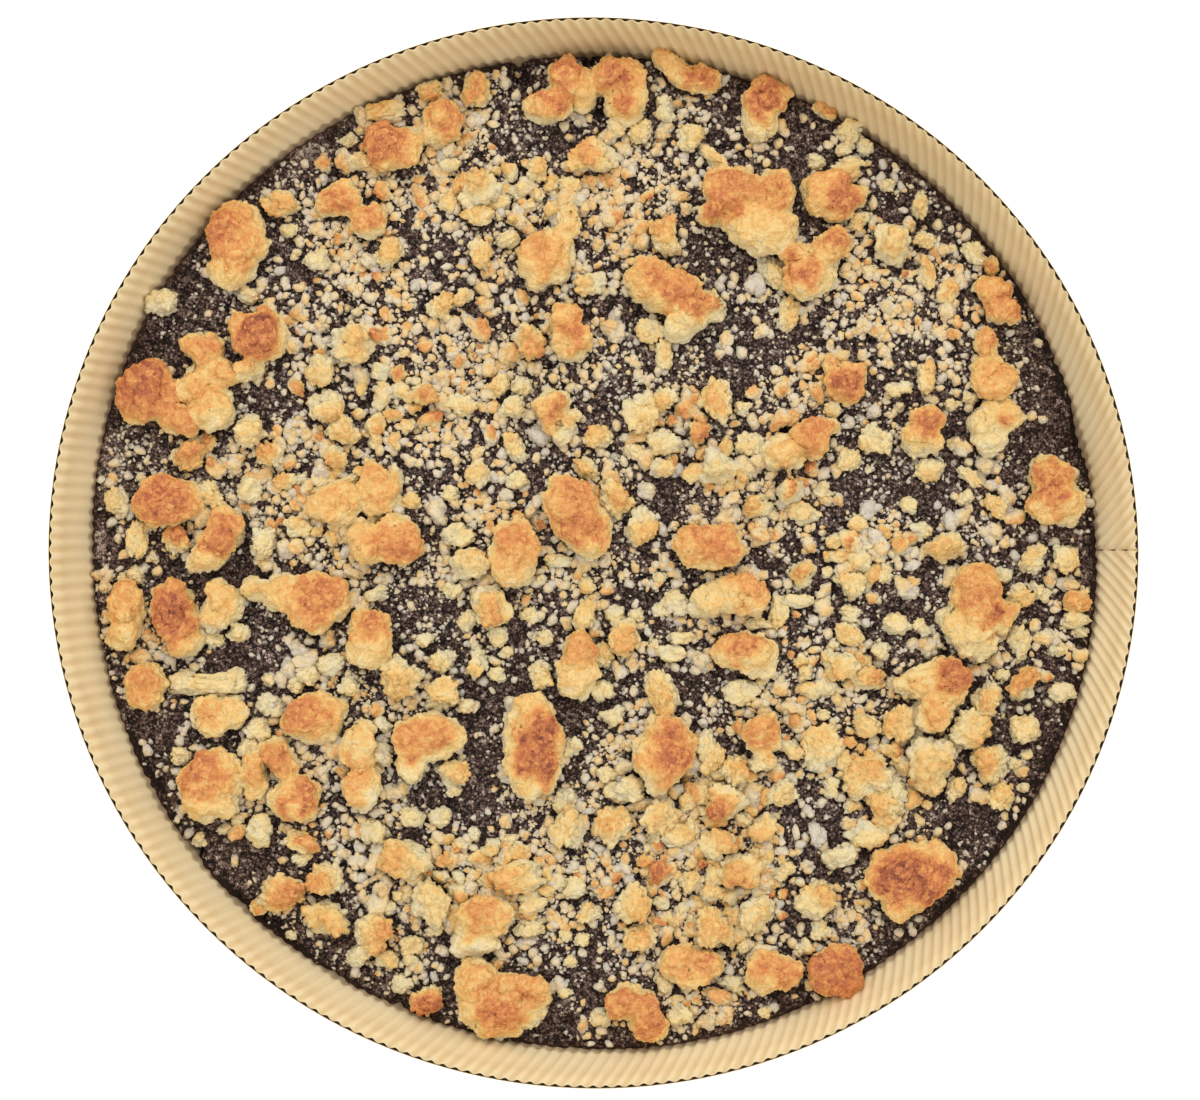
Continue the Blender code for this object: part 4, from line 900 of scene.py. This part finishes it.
# How thickly small crumbs lie in the photograph: middle, width, height, and a share from bare to full. Where
# places overlap, the later one counts.
STREWN = (
    (450, 150, 150, 80, .9), (410, 230, 80, 160, .85), (315, 220, 60, 50, .8), (340, 310, 190, 60, .85),
    (375, 275, 70, 50, .85), (305, 345, 50, 110, .8), (250, 345, 40, 30, .8), (460, 370, 50, 40, .8),
    (540, 290, 50, 40, .7), (600, 340, 50, 40, .75), (730, 320, 50, 40, .5), (800, 110, 60, 40, .8),
    (620, 150, 60, 50, .8), (450, 90, 50, 30, .7), (905, 285, 170, 110, .85), (930, 270, 70, 60, .85),
    (120, 440, 40, 50, .4), (195, 455, 60, 40, .8), (175, 530, 50, 50, .85), (155, 640, 50, 50, .8),
    (315, 445, 60, 40, .8), (320, 550, 60, 40, .95), (440, 550, 60, 50, .7), (450, 450, 100, 80, .7),
    (545, 490, 50, 50, .75), (610, 465, 60, 50, .85), (600, 575, 100, 50, .85), (740, 500, 90, 50, .85),
    (800, 470, 60, 50, .8), (865, 555, 110, 80, .85), (970, 520, 50, 50, .75), (760, 690, 140, 60, .85),
    (870, 690, 60, 40, .75), (730, 790, 100, 60, 1), (530, 835, 90, 60, 1), (620, 870, 70, 60, .95),
    (660, 930, 80, 70, .9), (480, 880, 160, 100, .9), (715, 870, 160, 150, .9), (285, 905, 50, 40, .6),
    (850, 905, 40, 30, .55), (910, 840, 40, 30, .5), (640, 230, 80, 70, .55), (700, 1000, 90, 40, .5),
    (580, 170, 60, 80, .9), (530, 320, 60, 80, .85), (265, 480, 60, 90, .9), (350, 700, 60, 50, .85),
    (600, 370, 60, 40, .8), (770, 310, 50, 50, .8), (650, 150, 50, 50, .85), (690, 110, 40, 40, .7),
    (770, 140, 40, 40, .6), (860, 240, 40, 40, .7), (970, 330, 50, 40, .7), (880, 360, 60, 40, .7),
    (685, 440, 50, 40, .9), (680, 535, 50, 90, .85), (770, 480, 50, 40, .9), (770, 540, 60, 40, .6),
    (480, 590, 60, 50, .8), (470, 660, 50, 40, .75), (640, 640, 60, 60, .8), (760, 630, 60, 40, .8),
    (880, 690, 60, 50, .9), (780, 740, 50, 40, .8), (900, 760, 50, 40, .8), (890, 830, 50, 40, .8),
    (845, 900, 50, 40, .7), (570, 910, 50, 50, .8), (500, 960, 50, 30, .7), (640, 900, 50, 70, 1),
    (720, 930, 60, 50, .9), (660, 990, 60, 40, .8), (240, 810, 50, 40, .7), (140, 650, 40, 60, .8),
    (1015, 660, 40, 50, .8), (612, 745, 40, 50, .7), (540, 790, 50, 50, .7), (390, 810, 60, 50, .8),
    (310, 830, 60, 50, .8), (470, 90, 50, 40, .8), (285, 890, 50, 40, .8), (730, 850, 60, 40, .9),
    (540, 135, 110, 45, .1), (300, 268, 60, 36, .1), (170, 335, 60, 50, .05), (270, 395, 55, 45, .05),
    (150, 445, 45, 35, .1), (110, 545, 35, 70, .1), (245, 640, 110, 110, .1), (155, 735, 70, 60, .1),
    (235, 855, 95, 60, .05), (460, 715, 60, 40, .1), (585, 735, 36, 70, .1), (600, 700, 60, 40, .1),
    (705, 372, 170, 46, .15), (728, 110, 36, 50, .1), (876, 165, 60, 36, .1), (1050, 400, 60, 150, .1),
    (870, 492, 60, 40, .3), (970, 832, 130, 60, .05), (1055, 720, 40, 90, .1), (890, 950, 70, 50, .15),
    (552, 958, 70, 56, .2), (400, 1015, 120, 40, .15), (290, 165, 60, 40, .2), (765, 572, 50, 30, .2),
    (875, 745, 40, 20, .05), (425, 970, 44, 30, .05), (870, 910, 90, 60, .15), (780, 915, 30, 60, .15),
    (620, 205, 50, 30, .35), (1030, 350, 40, 50, .1), (212, 300, 44, 44, .25), (436, 622, 50, 60, .15),
    (515, 660, 50, 50, .15), (835, 828, 36, 50, .3), (240, 578, 60, 30, .1), (810, 538, 30, 30, .3),
    (590, 1000, 40, 40, .2), (200, 740, 90, 30, .15), (1090, 540, 20, 60, .1), (471, 771, 50, 40, .15),
    (985, 205, 60, 60, .45), (1060, 300, 40, 60, .1), (150, 800, 40, 90, .05), (300, 960, 80, 30, .1),
    (310, 195, 50, 40, .3), (440, 290, 50, 50, .3), (215, 302, 60, 44, .1), (170, 405, 50, 40, .1),
    (145, 355, 50, 40, .05), (240, 592, 90, 50, .03), (290, 655, 50, 50, .2), (385, 460, 50, 36, .3),
    (415, 520, 50, 40, .3), (470, 512, 50, 50, .4), (490, 820, 70, 46, .3), (445, 957, 60, 46, .03),
    (645, 705, 40, 46, .3), (760, 385, 80, 40, .05), (825, 545, 60, 50, .1), (820, 602, 50, 36, .3),
    (920, 590, 50, 60, .3), (950, 510, 44, 40, .4), (955, 370, 36, 46, .3), (850, 755, 36, 36, .2),
    (775, 922, 50, 56, .05), (725, 1002, 60, 40, .3), (560, 1005, 50, 40, .2), (530, 710, 60, 50, .1),
    (695, 175, 40, 50, .2), (800, 175, 50, 36, .3), (635, 207, 50, 36, .2), (620, 302, 50, 36, .3),
    (955, 220, 50, 44, .3), (620, 610, 44, 36, .3), (1040, 770, 60, 60, .05), (940, 900, 80, 50, .05),
    (605, 190, 50, 70, 1), (490, 250, 40, 50, .85), (760, 410, 50, 30, .8), (812, 350, 40, 50, .8),
    (725, 622, 50, 30, .9), (880, 700, 50, 40, 1), (592, 605, 40, 40, 1), (260, 640, 60, 40, .4),
    (340, 450, 60, 40, .95), (550, 778, 50, 30, .9), (800, 960, 30, 60, .8), (850, 905, 50, 40, .9),
    (500, 963, 36, 36, .8), (412, 940, 36, 50, .8), (625, 803, 50, 30, 1), (470, 350, 80, 60, .85),
    (400, 412, 60, 50, .95), (360, 180, 60, 40, .5), (540, 200, 60, 50, .8), (250, 345, 40, 40, .8),
    (420, 240, 50, 50, .4), (272, 300, 50, 40, .05), (330, 320, 50, 36, .5), (620, 380, 44, 44, .25),
    (752, 330, 44, 60, .2), (705, 440, 44, 60, .5), (940, 497, 50, 40, .1), (660, 610, 40, 60, .35),
    (640, 570, 50, 36, .5), (712, 690, 40, 60, .3), (595, 740, 36, 50, 0), (432, 800, 40, 36, .4),
    (482, 838, 60, 44, .1), (800, 845, 60, 36, .4), (840, 825, 44, 40, .1), (858, 760, 36, 36, .1),
    (1050, 690, 40, 60, .05), (440, 478, 44, 44, .3), (547, 485, 44, 40, .4), (905, 592, 60, 40, .1),
    (835, 545, 50, 44, 0), (750, 1002, 50, 36, .1), (635, 972, 44, 40, .4), (700, 250, 40, 60, .3),
    (850, 360, 40, 40, .4), (500, 150, 50, 36, .05), (795, 190, 40, 60, .2), (350, 840, 40, 60, .5),
    (240, 850, 60, 50, 0), (625, 240, 60, 50, .9), (430, 360, 40, 60, .95), (685, 385, 70, 44, .95),
    (800, 480, 56, 50, .95), (660, 190, 50, 60, .8), (480, 520, 60, 60, .95), (350, 570, 60, 50, 1),
    (750, 630, 50, 36, 1), (965, 760, 50, 50, .8), (915, 830, 40, 36, .8), (410, 940, 40, 60, .9),
    (700, 1000, 80, 44, .9), (350, 235, 60, 40, .85), (370, 180, 70, 44, .8), (490, 85, 40, 30, .7),
    (185, 530, 44, 36, .95), (150, 630, 50, 40, .9), (640, 160, 60, 40, .9), (780, 530, 60, 40, .95),
    (350, 700, 44, 60, 1), (310, 740, 50, 40, .7), (560, 915, 40, 40, .9), (730, 940, 50, 50, .9),
    (620, 750, 50, 40, .95), (555, 775, 50, 40, 1), (860, 250, 50, 60, .9), (470, 145, 50, 40, .85),
    (500, 380, 80, 44, .95), (800, 385, 60, 36, .95), (320, 830, 36, 60, .8), (460, 290, 44, 120, .4),
    (510, 318, 36, 36, .4), (705, 335, 56, 44, .3), (755, 280, 44, 44, .4), (850, 360, 40, 50, .15),
    (815, 325, 44, 40, .4), (670, 490, 50, 80, .05), (725, 450, 50, 44, .3), (545, 460, 44, 60, .2),
    (380, 440, 50, 70, .5), (240, 590, 50, 70, .05), (290, 430, 36, 44, .5), (180, 405, 40, 36, .1),
    (220, 460, 36, 36, .2), (485, 695, 50, 50, .1), (555, 615, 44, 44, .3), (700, 730, 60, 40, .3),
    (860, 755, 44, 40, 0), (775, 910, 36, 70, .3), (600, 850, 60, 50, .5), (430, 795, 36, 36, .1),
    (150, 710, 50, 50, .05), (220, 755, 50, 40, .2), (1030, 355, 40, 40, .3), (1060, 460, 44, 44, .2),
    (1005, 605, 60, 40, .1), (1050, 690, 44, 60, 0), (800, 160, 44, 100, .1), (310, 190, 36, 36, .3),
    (285, 290, 50, 50, .3), (940, 490, 60, 40, .05), (540, 950, 50, 50, .4), (600, 990, 50, 60, .2),
    (840, 545, 50, 44, 0), (280, 860, 50, 44, 0),
)
STREWN_EDGE = (1.4, 0.7)            # where a place ends and how wide it fades, as shares of its half size
PLAIN_THICKNESS = (0.42, 0.4, 11.0)  # elsewhere: its mean, and the height and length of its clouds
CRUMB_SHAPES = 10
CRUMB_BALLS = 4                     # melted into one crumb of radius 1
BALL_REACH = 0.33
BALL_SIZES = (0.46, 0.66)
CRUMB_SWAYS = ((0.8, 0.38),)
CRUMB_GRAINS = ((0.42, 0.18), (0.25, 0.09))
CHIP_REACH = (0.75, 1.1)            # of a chip's corners from its middle
CRUMB_SUNK = 0.3                    # share of a placed crumb's half height that lies in the filling
GOLDEN = 0.25                       # placed crumbs with a tone above this are in the golden piece
CRUMB_TONE = (0.14, 0.48)           # a crumb's tone where the tables have 0, and what 1 adds
SMALL_TONE = (0.1, 0.48)
CRUMB_SIDES = (0.32, 1.04, 0.1, 0.9)    # share of the tone at a crumb's sides, what its top adds, and from
                                        # which lift over which it is added
LEAST_TONE = 0.03
FINE_STOPS = ((0.0, (208, 199, 184)), (0.1, (223, 211, 190)), (0.22, (235, 215, 175)),
              (0.36, (241, 206, 141)), (0.5, (237, 175, 102))) + BUTTER_STOPS[5:]
TONE_BY_THICKNESS = (0.2, 0.4)      # finer crumbs are more golden where they lie thicker than this
FINE_POWER = 1.6                    # above 1 the smaller sizes are more frequent
CARPET_SPACE = 40.0                 # square pixels of a carpet to each try at placing a crumb
CARPET_SIZES = (11, 25)             # pixels
CARPET_TONE = (0.25, 0.08)          # middle and spread
CARPET_REACH = (0.85, 1.15)         # how ragged a carpet's edge is
CROWDED = 0.8                       # the least distance of two carpet crumbs, as a share of their half sizes
CARPET_FREE = 0.85                  # the share of a larger piece's outline that a carpet crumb keeps clear of
EDGE_CLEARANCE = 1.0                # of a strewn crumb from the cake's edge
FLOCK_CLEARANCE = 1.5


def any_way(draw):
    """A random direction."""
    return Vector((draw.gauss(0, 1), draw.gauss(0, 1), draw.gauss(0, 1))).normalized()


def crumb_shape(draw, voxel):
    """A compact crumb about one unit in radius: four balls melted into one skin, then nibbled all over."""
    copies = []
    for _ in range(CRUMB_BALLS):
        away = any_way(draw) * BALL_REACH
        copies.append((grain_ball, Matrix.Scale(draw.uniform(*BALL_SIZES), 3), away))
    mesh = fuse(joined("crumb", copies), voxel, 0)
    mesh.transform(Matrix.Translation((draw.uniform(3, 30), 0, 0)))
    roughen(mesh, CRUMB_SWAYS, CRUMB_GRAINS)
    bm = bmesh.new()
    bm.from_mesh(mesh)
    bpy.data.meshes.remove(mesh)
    points, faces = arrays_of(bm)
    points -= (points.max(axis=0) + points.min(axis=0)) / 2
    points /= (points.max(axis=0) - points.min(axis=0)) / 2
    return points, faces


def chip_shape(draw, corners):
    """A broken chip for the small sizes: the hull of a few points near a ball."""
    bm = bmesh.new()
    for _ in range(corners):
        way = any_way(draw)
        bm.verts.new(way * draw.uniform(*CHIP_REACH))
    hull = bmesh.ops.convex_hull(bm, input=bm.verts)
    bmesh.ops.delete(bm, geom=hull["geom_interior"], context="VERTS")
    return arrays_of(bm)


def scatter(name, shapes, spots, draw, finish):
    """Adds a piece with one copy of a shape for each spot, each turned and toned by itself."""
    copies = []
    tones = []
    for x, y, z, half_long, half_short, half_high, turn, tone in spots:
        shape = draw.choice(shapes)
        tumble = Euler([draw.uniform(0, math.tau) for _ in range(3)]).to_matrix()
        size = Matrix.Diagonal((half_long, half_short, half_high))
        copies.append((shape, Matrix.Rotation(turn, 3, "Z") @ size @ tumble, (x, y, z)))
        top = Vector((draw.uniform(-0.6, 0.6), draw.uniform(-0.6, 0.6), 1)).normalized()
        lift = shape[0] @ numpy.array(tumble).T @ numpy.array(top)
        side, top_adds, start, width = CRUMB_SIDES
        tones.append(tone * (side + top_adds * ((lift + start) / width).clip(0, 1)) + LEAST_TONE)
    mesh = joined(name, copies)
    mark_all(mesh, {"tone": numpy.concatenate(tones)})
    add_piece(name, mesh, "baked_streusel", finish)


def listed_spots(rows, tones):
    """Crumbs of the photograph as spots on the filling."""
    spots = []
    for x, y, long, short, turn, tone in rows:
        here_x, here_y, pixel = place(x, y, CRUMB_DEPTH)
        half_long = long * pixel / 2
        half_short = short * pixel / 2
        height = half_short * 0.95
        z = filling_height(here_x, here_y) + height * (1 - CRUMB_SUNK)
        tone = tones[0] + tones[1] * tone
        spots.append((here_x, here_y, z, half_long, half_short, height, math.radians(turn), tone))
    return spots


# What lies on the filling already, which the finer crumbs keep clear of.
covered = [(*place(x, y, LUMP_DEPTH), long, short, math.radians(turn))
           for _, _, knobs, _ in LUMPS for x, y, long, short, turn in knobs]
covered += [(*place(x, y, CRUMB_DEPTH), long, short, math.radians(turn))
            for x, y, long, short, turn, _ in CRUMBS + SMALL_CRUMBS]
covered = numpy.array(covered)


def free_of_others(x, y, share):
    """Whether a point lies outside a share of every larger piece's outline."""
    dx = x - covered[:, 0]
    dy = y - covered[:, 1]
    turn = covered[:, 5]
    along = (dx * numpy.cos(turn) + dy * numpy.sin(turn)) / (covered[:, 3] * covered[:, 2] / 2)
    across = (dy * numpy.cos(turn) - dx * numpy.sin(turn)) / (covered[:, 4] * covered[:, 2] / 2)
    return (along ** 2 + across ** 2).min() > share ** 2


def thickness(x, y):
    """How thickly crumbs are strewn at a point, from 0 to 1."""
    pixel = RIM_PIXEL * (1 + CRUMB_DEPTH / CAMERA_HEIGHT)
    across = PICTURE_MIDDLE[0] + (x - CAMERA_X) / pixel
    down = PICTURE_MIDDLE[1] - (y - CAMERA_Y) / pixel
    mean, sway, length = PLAIN_THICKNESS
    value = mean + sway * clouds_at(x, y, 20, length)
    for middle_x, middle_y, width, height, full in STREWN:
        away = math.hypot((across - middle_x) / width, (down - middle_y) / height) * 2
        value += (full - value) * limited((STREWN_EDGE[0] - away) / STREWN_EDGE[1])
    return limited(value)


def spot_at(x, y, size, tone, draw):
    """A small crumb of a size in pixels, lying on the filling."""
    half = size * RIM_PIXEL / 2
    z = filling_height(x, y) + half * 0.45
    turn = draw.uniform(0, math.pi)
    half_long = half * draw.uniform(1.0, 1.3)
    half_short = half * draw.uniform(0.8, 1.0)
    return x, y, z, half_long, half_short, half * 0.9, turn, max(0.0, tone)


def strewn_spots(count, sizes, chance, share, tones, flock, draw):
    """Spots by a seeded rule, in flocks. A flock's chance is a power of the thickness, with a least value."""
    spots = []
    while len(spots) < count:
        angle = draw.uniform(0, math.tau)
        reach = math.sqrt(draw.random()) * (cake_radius(angle, EDGE_LEVEL) - FLOCK_CLEARANCE)
        middle_x = reach * math.cos(angle)
        middle_y = reach * math.sin(angle)
        thick = thickness(middle_x, middle_y)
        if draw.random() > max(chance[0], thick ** chance[1]):
            continue
        members = draw.randint(*flock)
        spread = sizes[1] * RIM_PIXEL * 0.5 * math.sqrt(members - 1)
        for _ in range(members):
            x = middle_x + draw.gauss(0, spread)
            y = middle_y + draw.gauss(0, spread)
            edge = cake_radius(math.atan2(y, x), EDGE_LEVEL) - EDGE_CLEARANCE
            if math.hypot(x, y) > edge or not free_of_others(x, y, share):
                continue
            size = sizes[0] + (sizes[1] - sizes[0]) * draw.random() ** FINE_POWER
            tone = draw.gauss(*tones) + TONE_BY_THICKNESS[0] * (thick - TONE_BY_THICKNESS[1])
            spots.append(spot_at(x, y, size, tone, draw))
    return spots


def carpet_spots(draw):
    """Spots that lie side by side with small gaps in the carpets."""
    spots = []
    for middle_x, middle_y, width, height in CARPETS:
        for _ in range(round(width * height / CARPET_SPACE)):
            angle = draw.uniform(0, math.tau)
            reach = math.sqrt(draw.random()) * draw.uniform(*CARPET_REACH) / 2
            x, y, pixel = place(middle_x + reach * width * math.cos(angle),
                                middle_y + reach * height * math.sin(angle), CRUMB_DEPTH)
            size = draw.uniform(*CARPET_SIZES)
            half = size * pixel / 2
            crowded = any(math.hypot(x - other[0], y - other[1]) < CROWDED * (half + other[4])
                          for other in spots)
            if crowded or not free_of_others(x, y, CARPET_FREE):
                continue
            spots.append(spot_at(x, y, size, draw.gauss(*CARPET_TONE), draw))
    return spots


floury_butter = butter_finish("floury_butter", FINE_STOPS)
crumb_draw = random.Random(5)
large_shapes = [crumb_shape(crumb_draw, 0.115) for _ in range(CRUMB_SHAPES)]
middle_shapes = [crumb_shape(crumb_draw, 0.15) for _ in range(CRUMB_SHAPES)]
plain_shapes = [crumb_shape(crumb_draw, 0.24) for _ in range(CRUMB_SHAPES)]
chip_shapes = [chip_shape(crumb_draw, 26) for _ in range(CRUMB_SHAPES)]
dust_shapes = [chip_shape(crumb_draw, 12) for _ in range(CRUMB_SHAPES)]

golden = [row for row in CRUMBS if row[-1] > GOLDEN]
pale = [row for row in CRUMBS if row[-1] <= GOLDEN]
for name, shapes, rows, tones in (("streusel_golden_crumbs", large_shapes, golden, CRUMB_TONE),
                                  ("streusel_pale_crumbs", large_shapes, pale, CRUMB_TONE),
                                  ("streusel_small_crumbs", middle_shapes, SMALL_CRUMBS, SMALL_TONE)):
    scatter(name, shapes, listed_spots(rows, tones), crumb_draw, baked_butter)
scatter("streusel_carpets", plain_shapes, carpet_spots(crumb_draw), crumb_draw, baked_butter)

# Crumbs that fall by the rule: how many, least and largest size in pixels, least chance and power, the share
# of a larger piece's outline that they keep clear of, middle and spread of the tone, and how many to a flock.
for name, shapes, *rule in (
        ("streusel_rubble", plain_shapes, 450, (12, 24), (0.02, 1.8), 0.95, (0.2, 0.08), (1, 4)),
        ("streusel_grains", chip_shapes, 3900, (6.5, 14), (0.04, 1.5), 0.92, (0.14, 0.08), (1, 8)),
        ("streusel_fine", dust_shapes, 9500, (3, 7.5), (0.12, 1.1), 0.92, (0.08, 0.06), (2, 14))):
    scatter(name, shapes, strewn_spots(*rule, crumb_draw), crumb_draw, floury_butter)


# The studio: a plain white table, soft light from the top of the picture, and a camera straight above.

TABLE_SIZE = 6.0
TABLE_HEIGHT = 0.0001               # just above the underside of the case, which it would flicker with
TABLE_WHITE = 0.93
TABLE_GLOW = 0.4                    # keeps the white of the table free of grey shadow
LIGHT_WATTS = 11
LIGHT_PLACE = (0.0, 1.0, 1.5)
LIGHT_SIZE = 1.2
ROOM_LIGHT = 0.95
LENS = 67.2
SENSOR = 36.0

table_bm = bmesh.new()
bmesh.ops.create_grid(table_bm, x_segments=1, y_segments=1, size=TABLE_SIZE / 2)
bmesh.ops.translate(table_bm, verts=table_bm.verts, vec=(0, 0, TABLE_HEIGHT))
table_mesh = bpy.data.meshes.new("table")
table_bm.to_mesh(table_mesh)
table_bm.free()
white = Finish("white_table", 0.9)
white.shader.inputs["Base Color"].default_value = (TABLE_WHITE, TABLE_WHITE, TABLE_WHITE, 1)
white.shader.inputs["Emission Color"].default_value = (1, 1, 1, 1)
white.shader.inputs["Emission Strength"].default_value = TABLE_GLOW
table_mesh.materials.append(white.material)
linked("table", table_mesh)

lamp_data = bpy.data.lights.new("window", "AREA")
lamp_data.shape = "SQUARE"
lamp_data.size = LIGHT_SIZE
lamp_data.energy = LIGHT_WATTS
lamp = linked("window", lamp_data)
lamp.location = LIGHT_PLACE
lamp.rotation_euler = (-Vector(LIGHT_PLACE)).to_track_quat("-Z", "Y").to_euler()

room = bpy.data.worlds.new("room")
room.use_nodes = True
room.node_tree.nodes["Background"].inputs["Color"].default_value = (1, 1, 1, 1)
room.node_tree.nodes["Background"].inputs["Strength"].default_value = ROOM_LIGHT
bpy.context.scene.world = room

camera_data = bpy.data.cameras.new("camera")
camera_data.lens = LENS
camera_data.sensor_width = SENSOR
camera = linked("camera", camera_data)
camera.location = (CAMERA_X * MM, CAMERA_Y * MM, (CASE_TOP + CAMERA_HEIGHT) * MM)
bpy.context.scene.camera = camera
bpy.context.scene.view_settings.view_transform = "Standard"
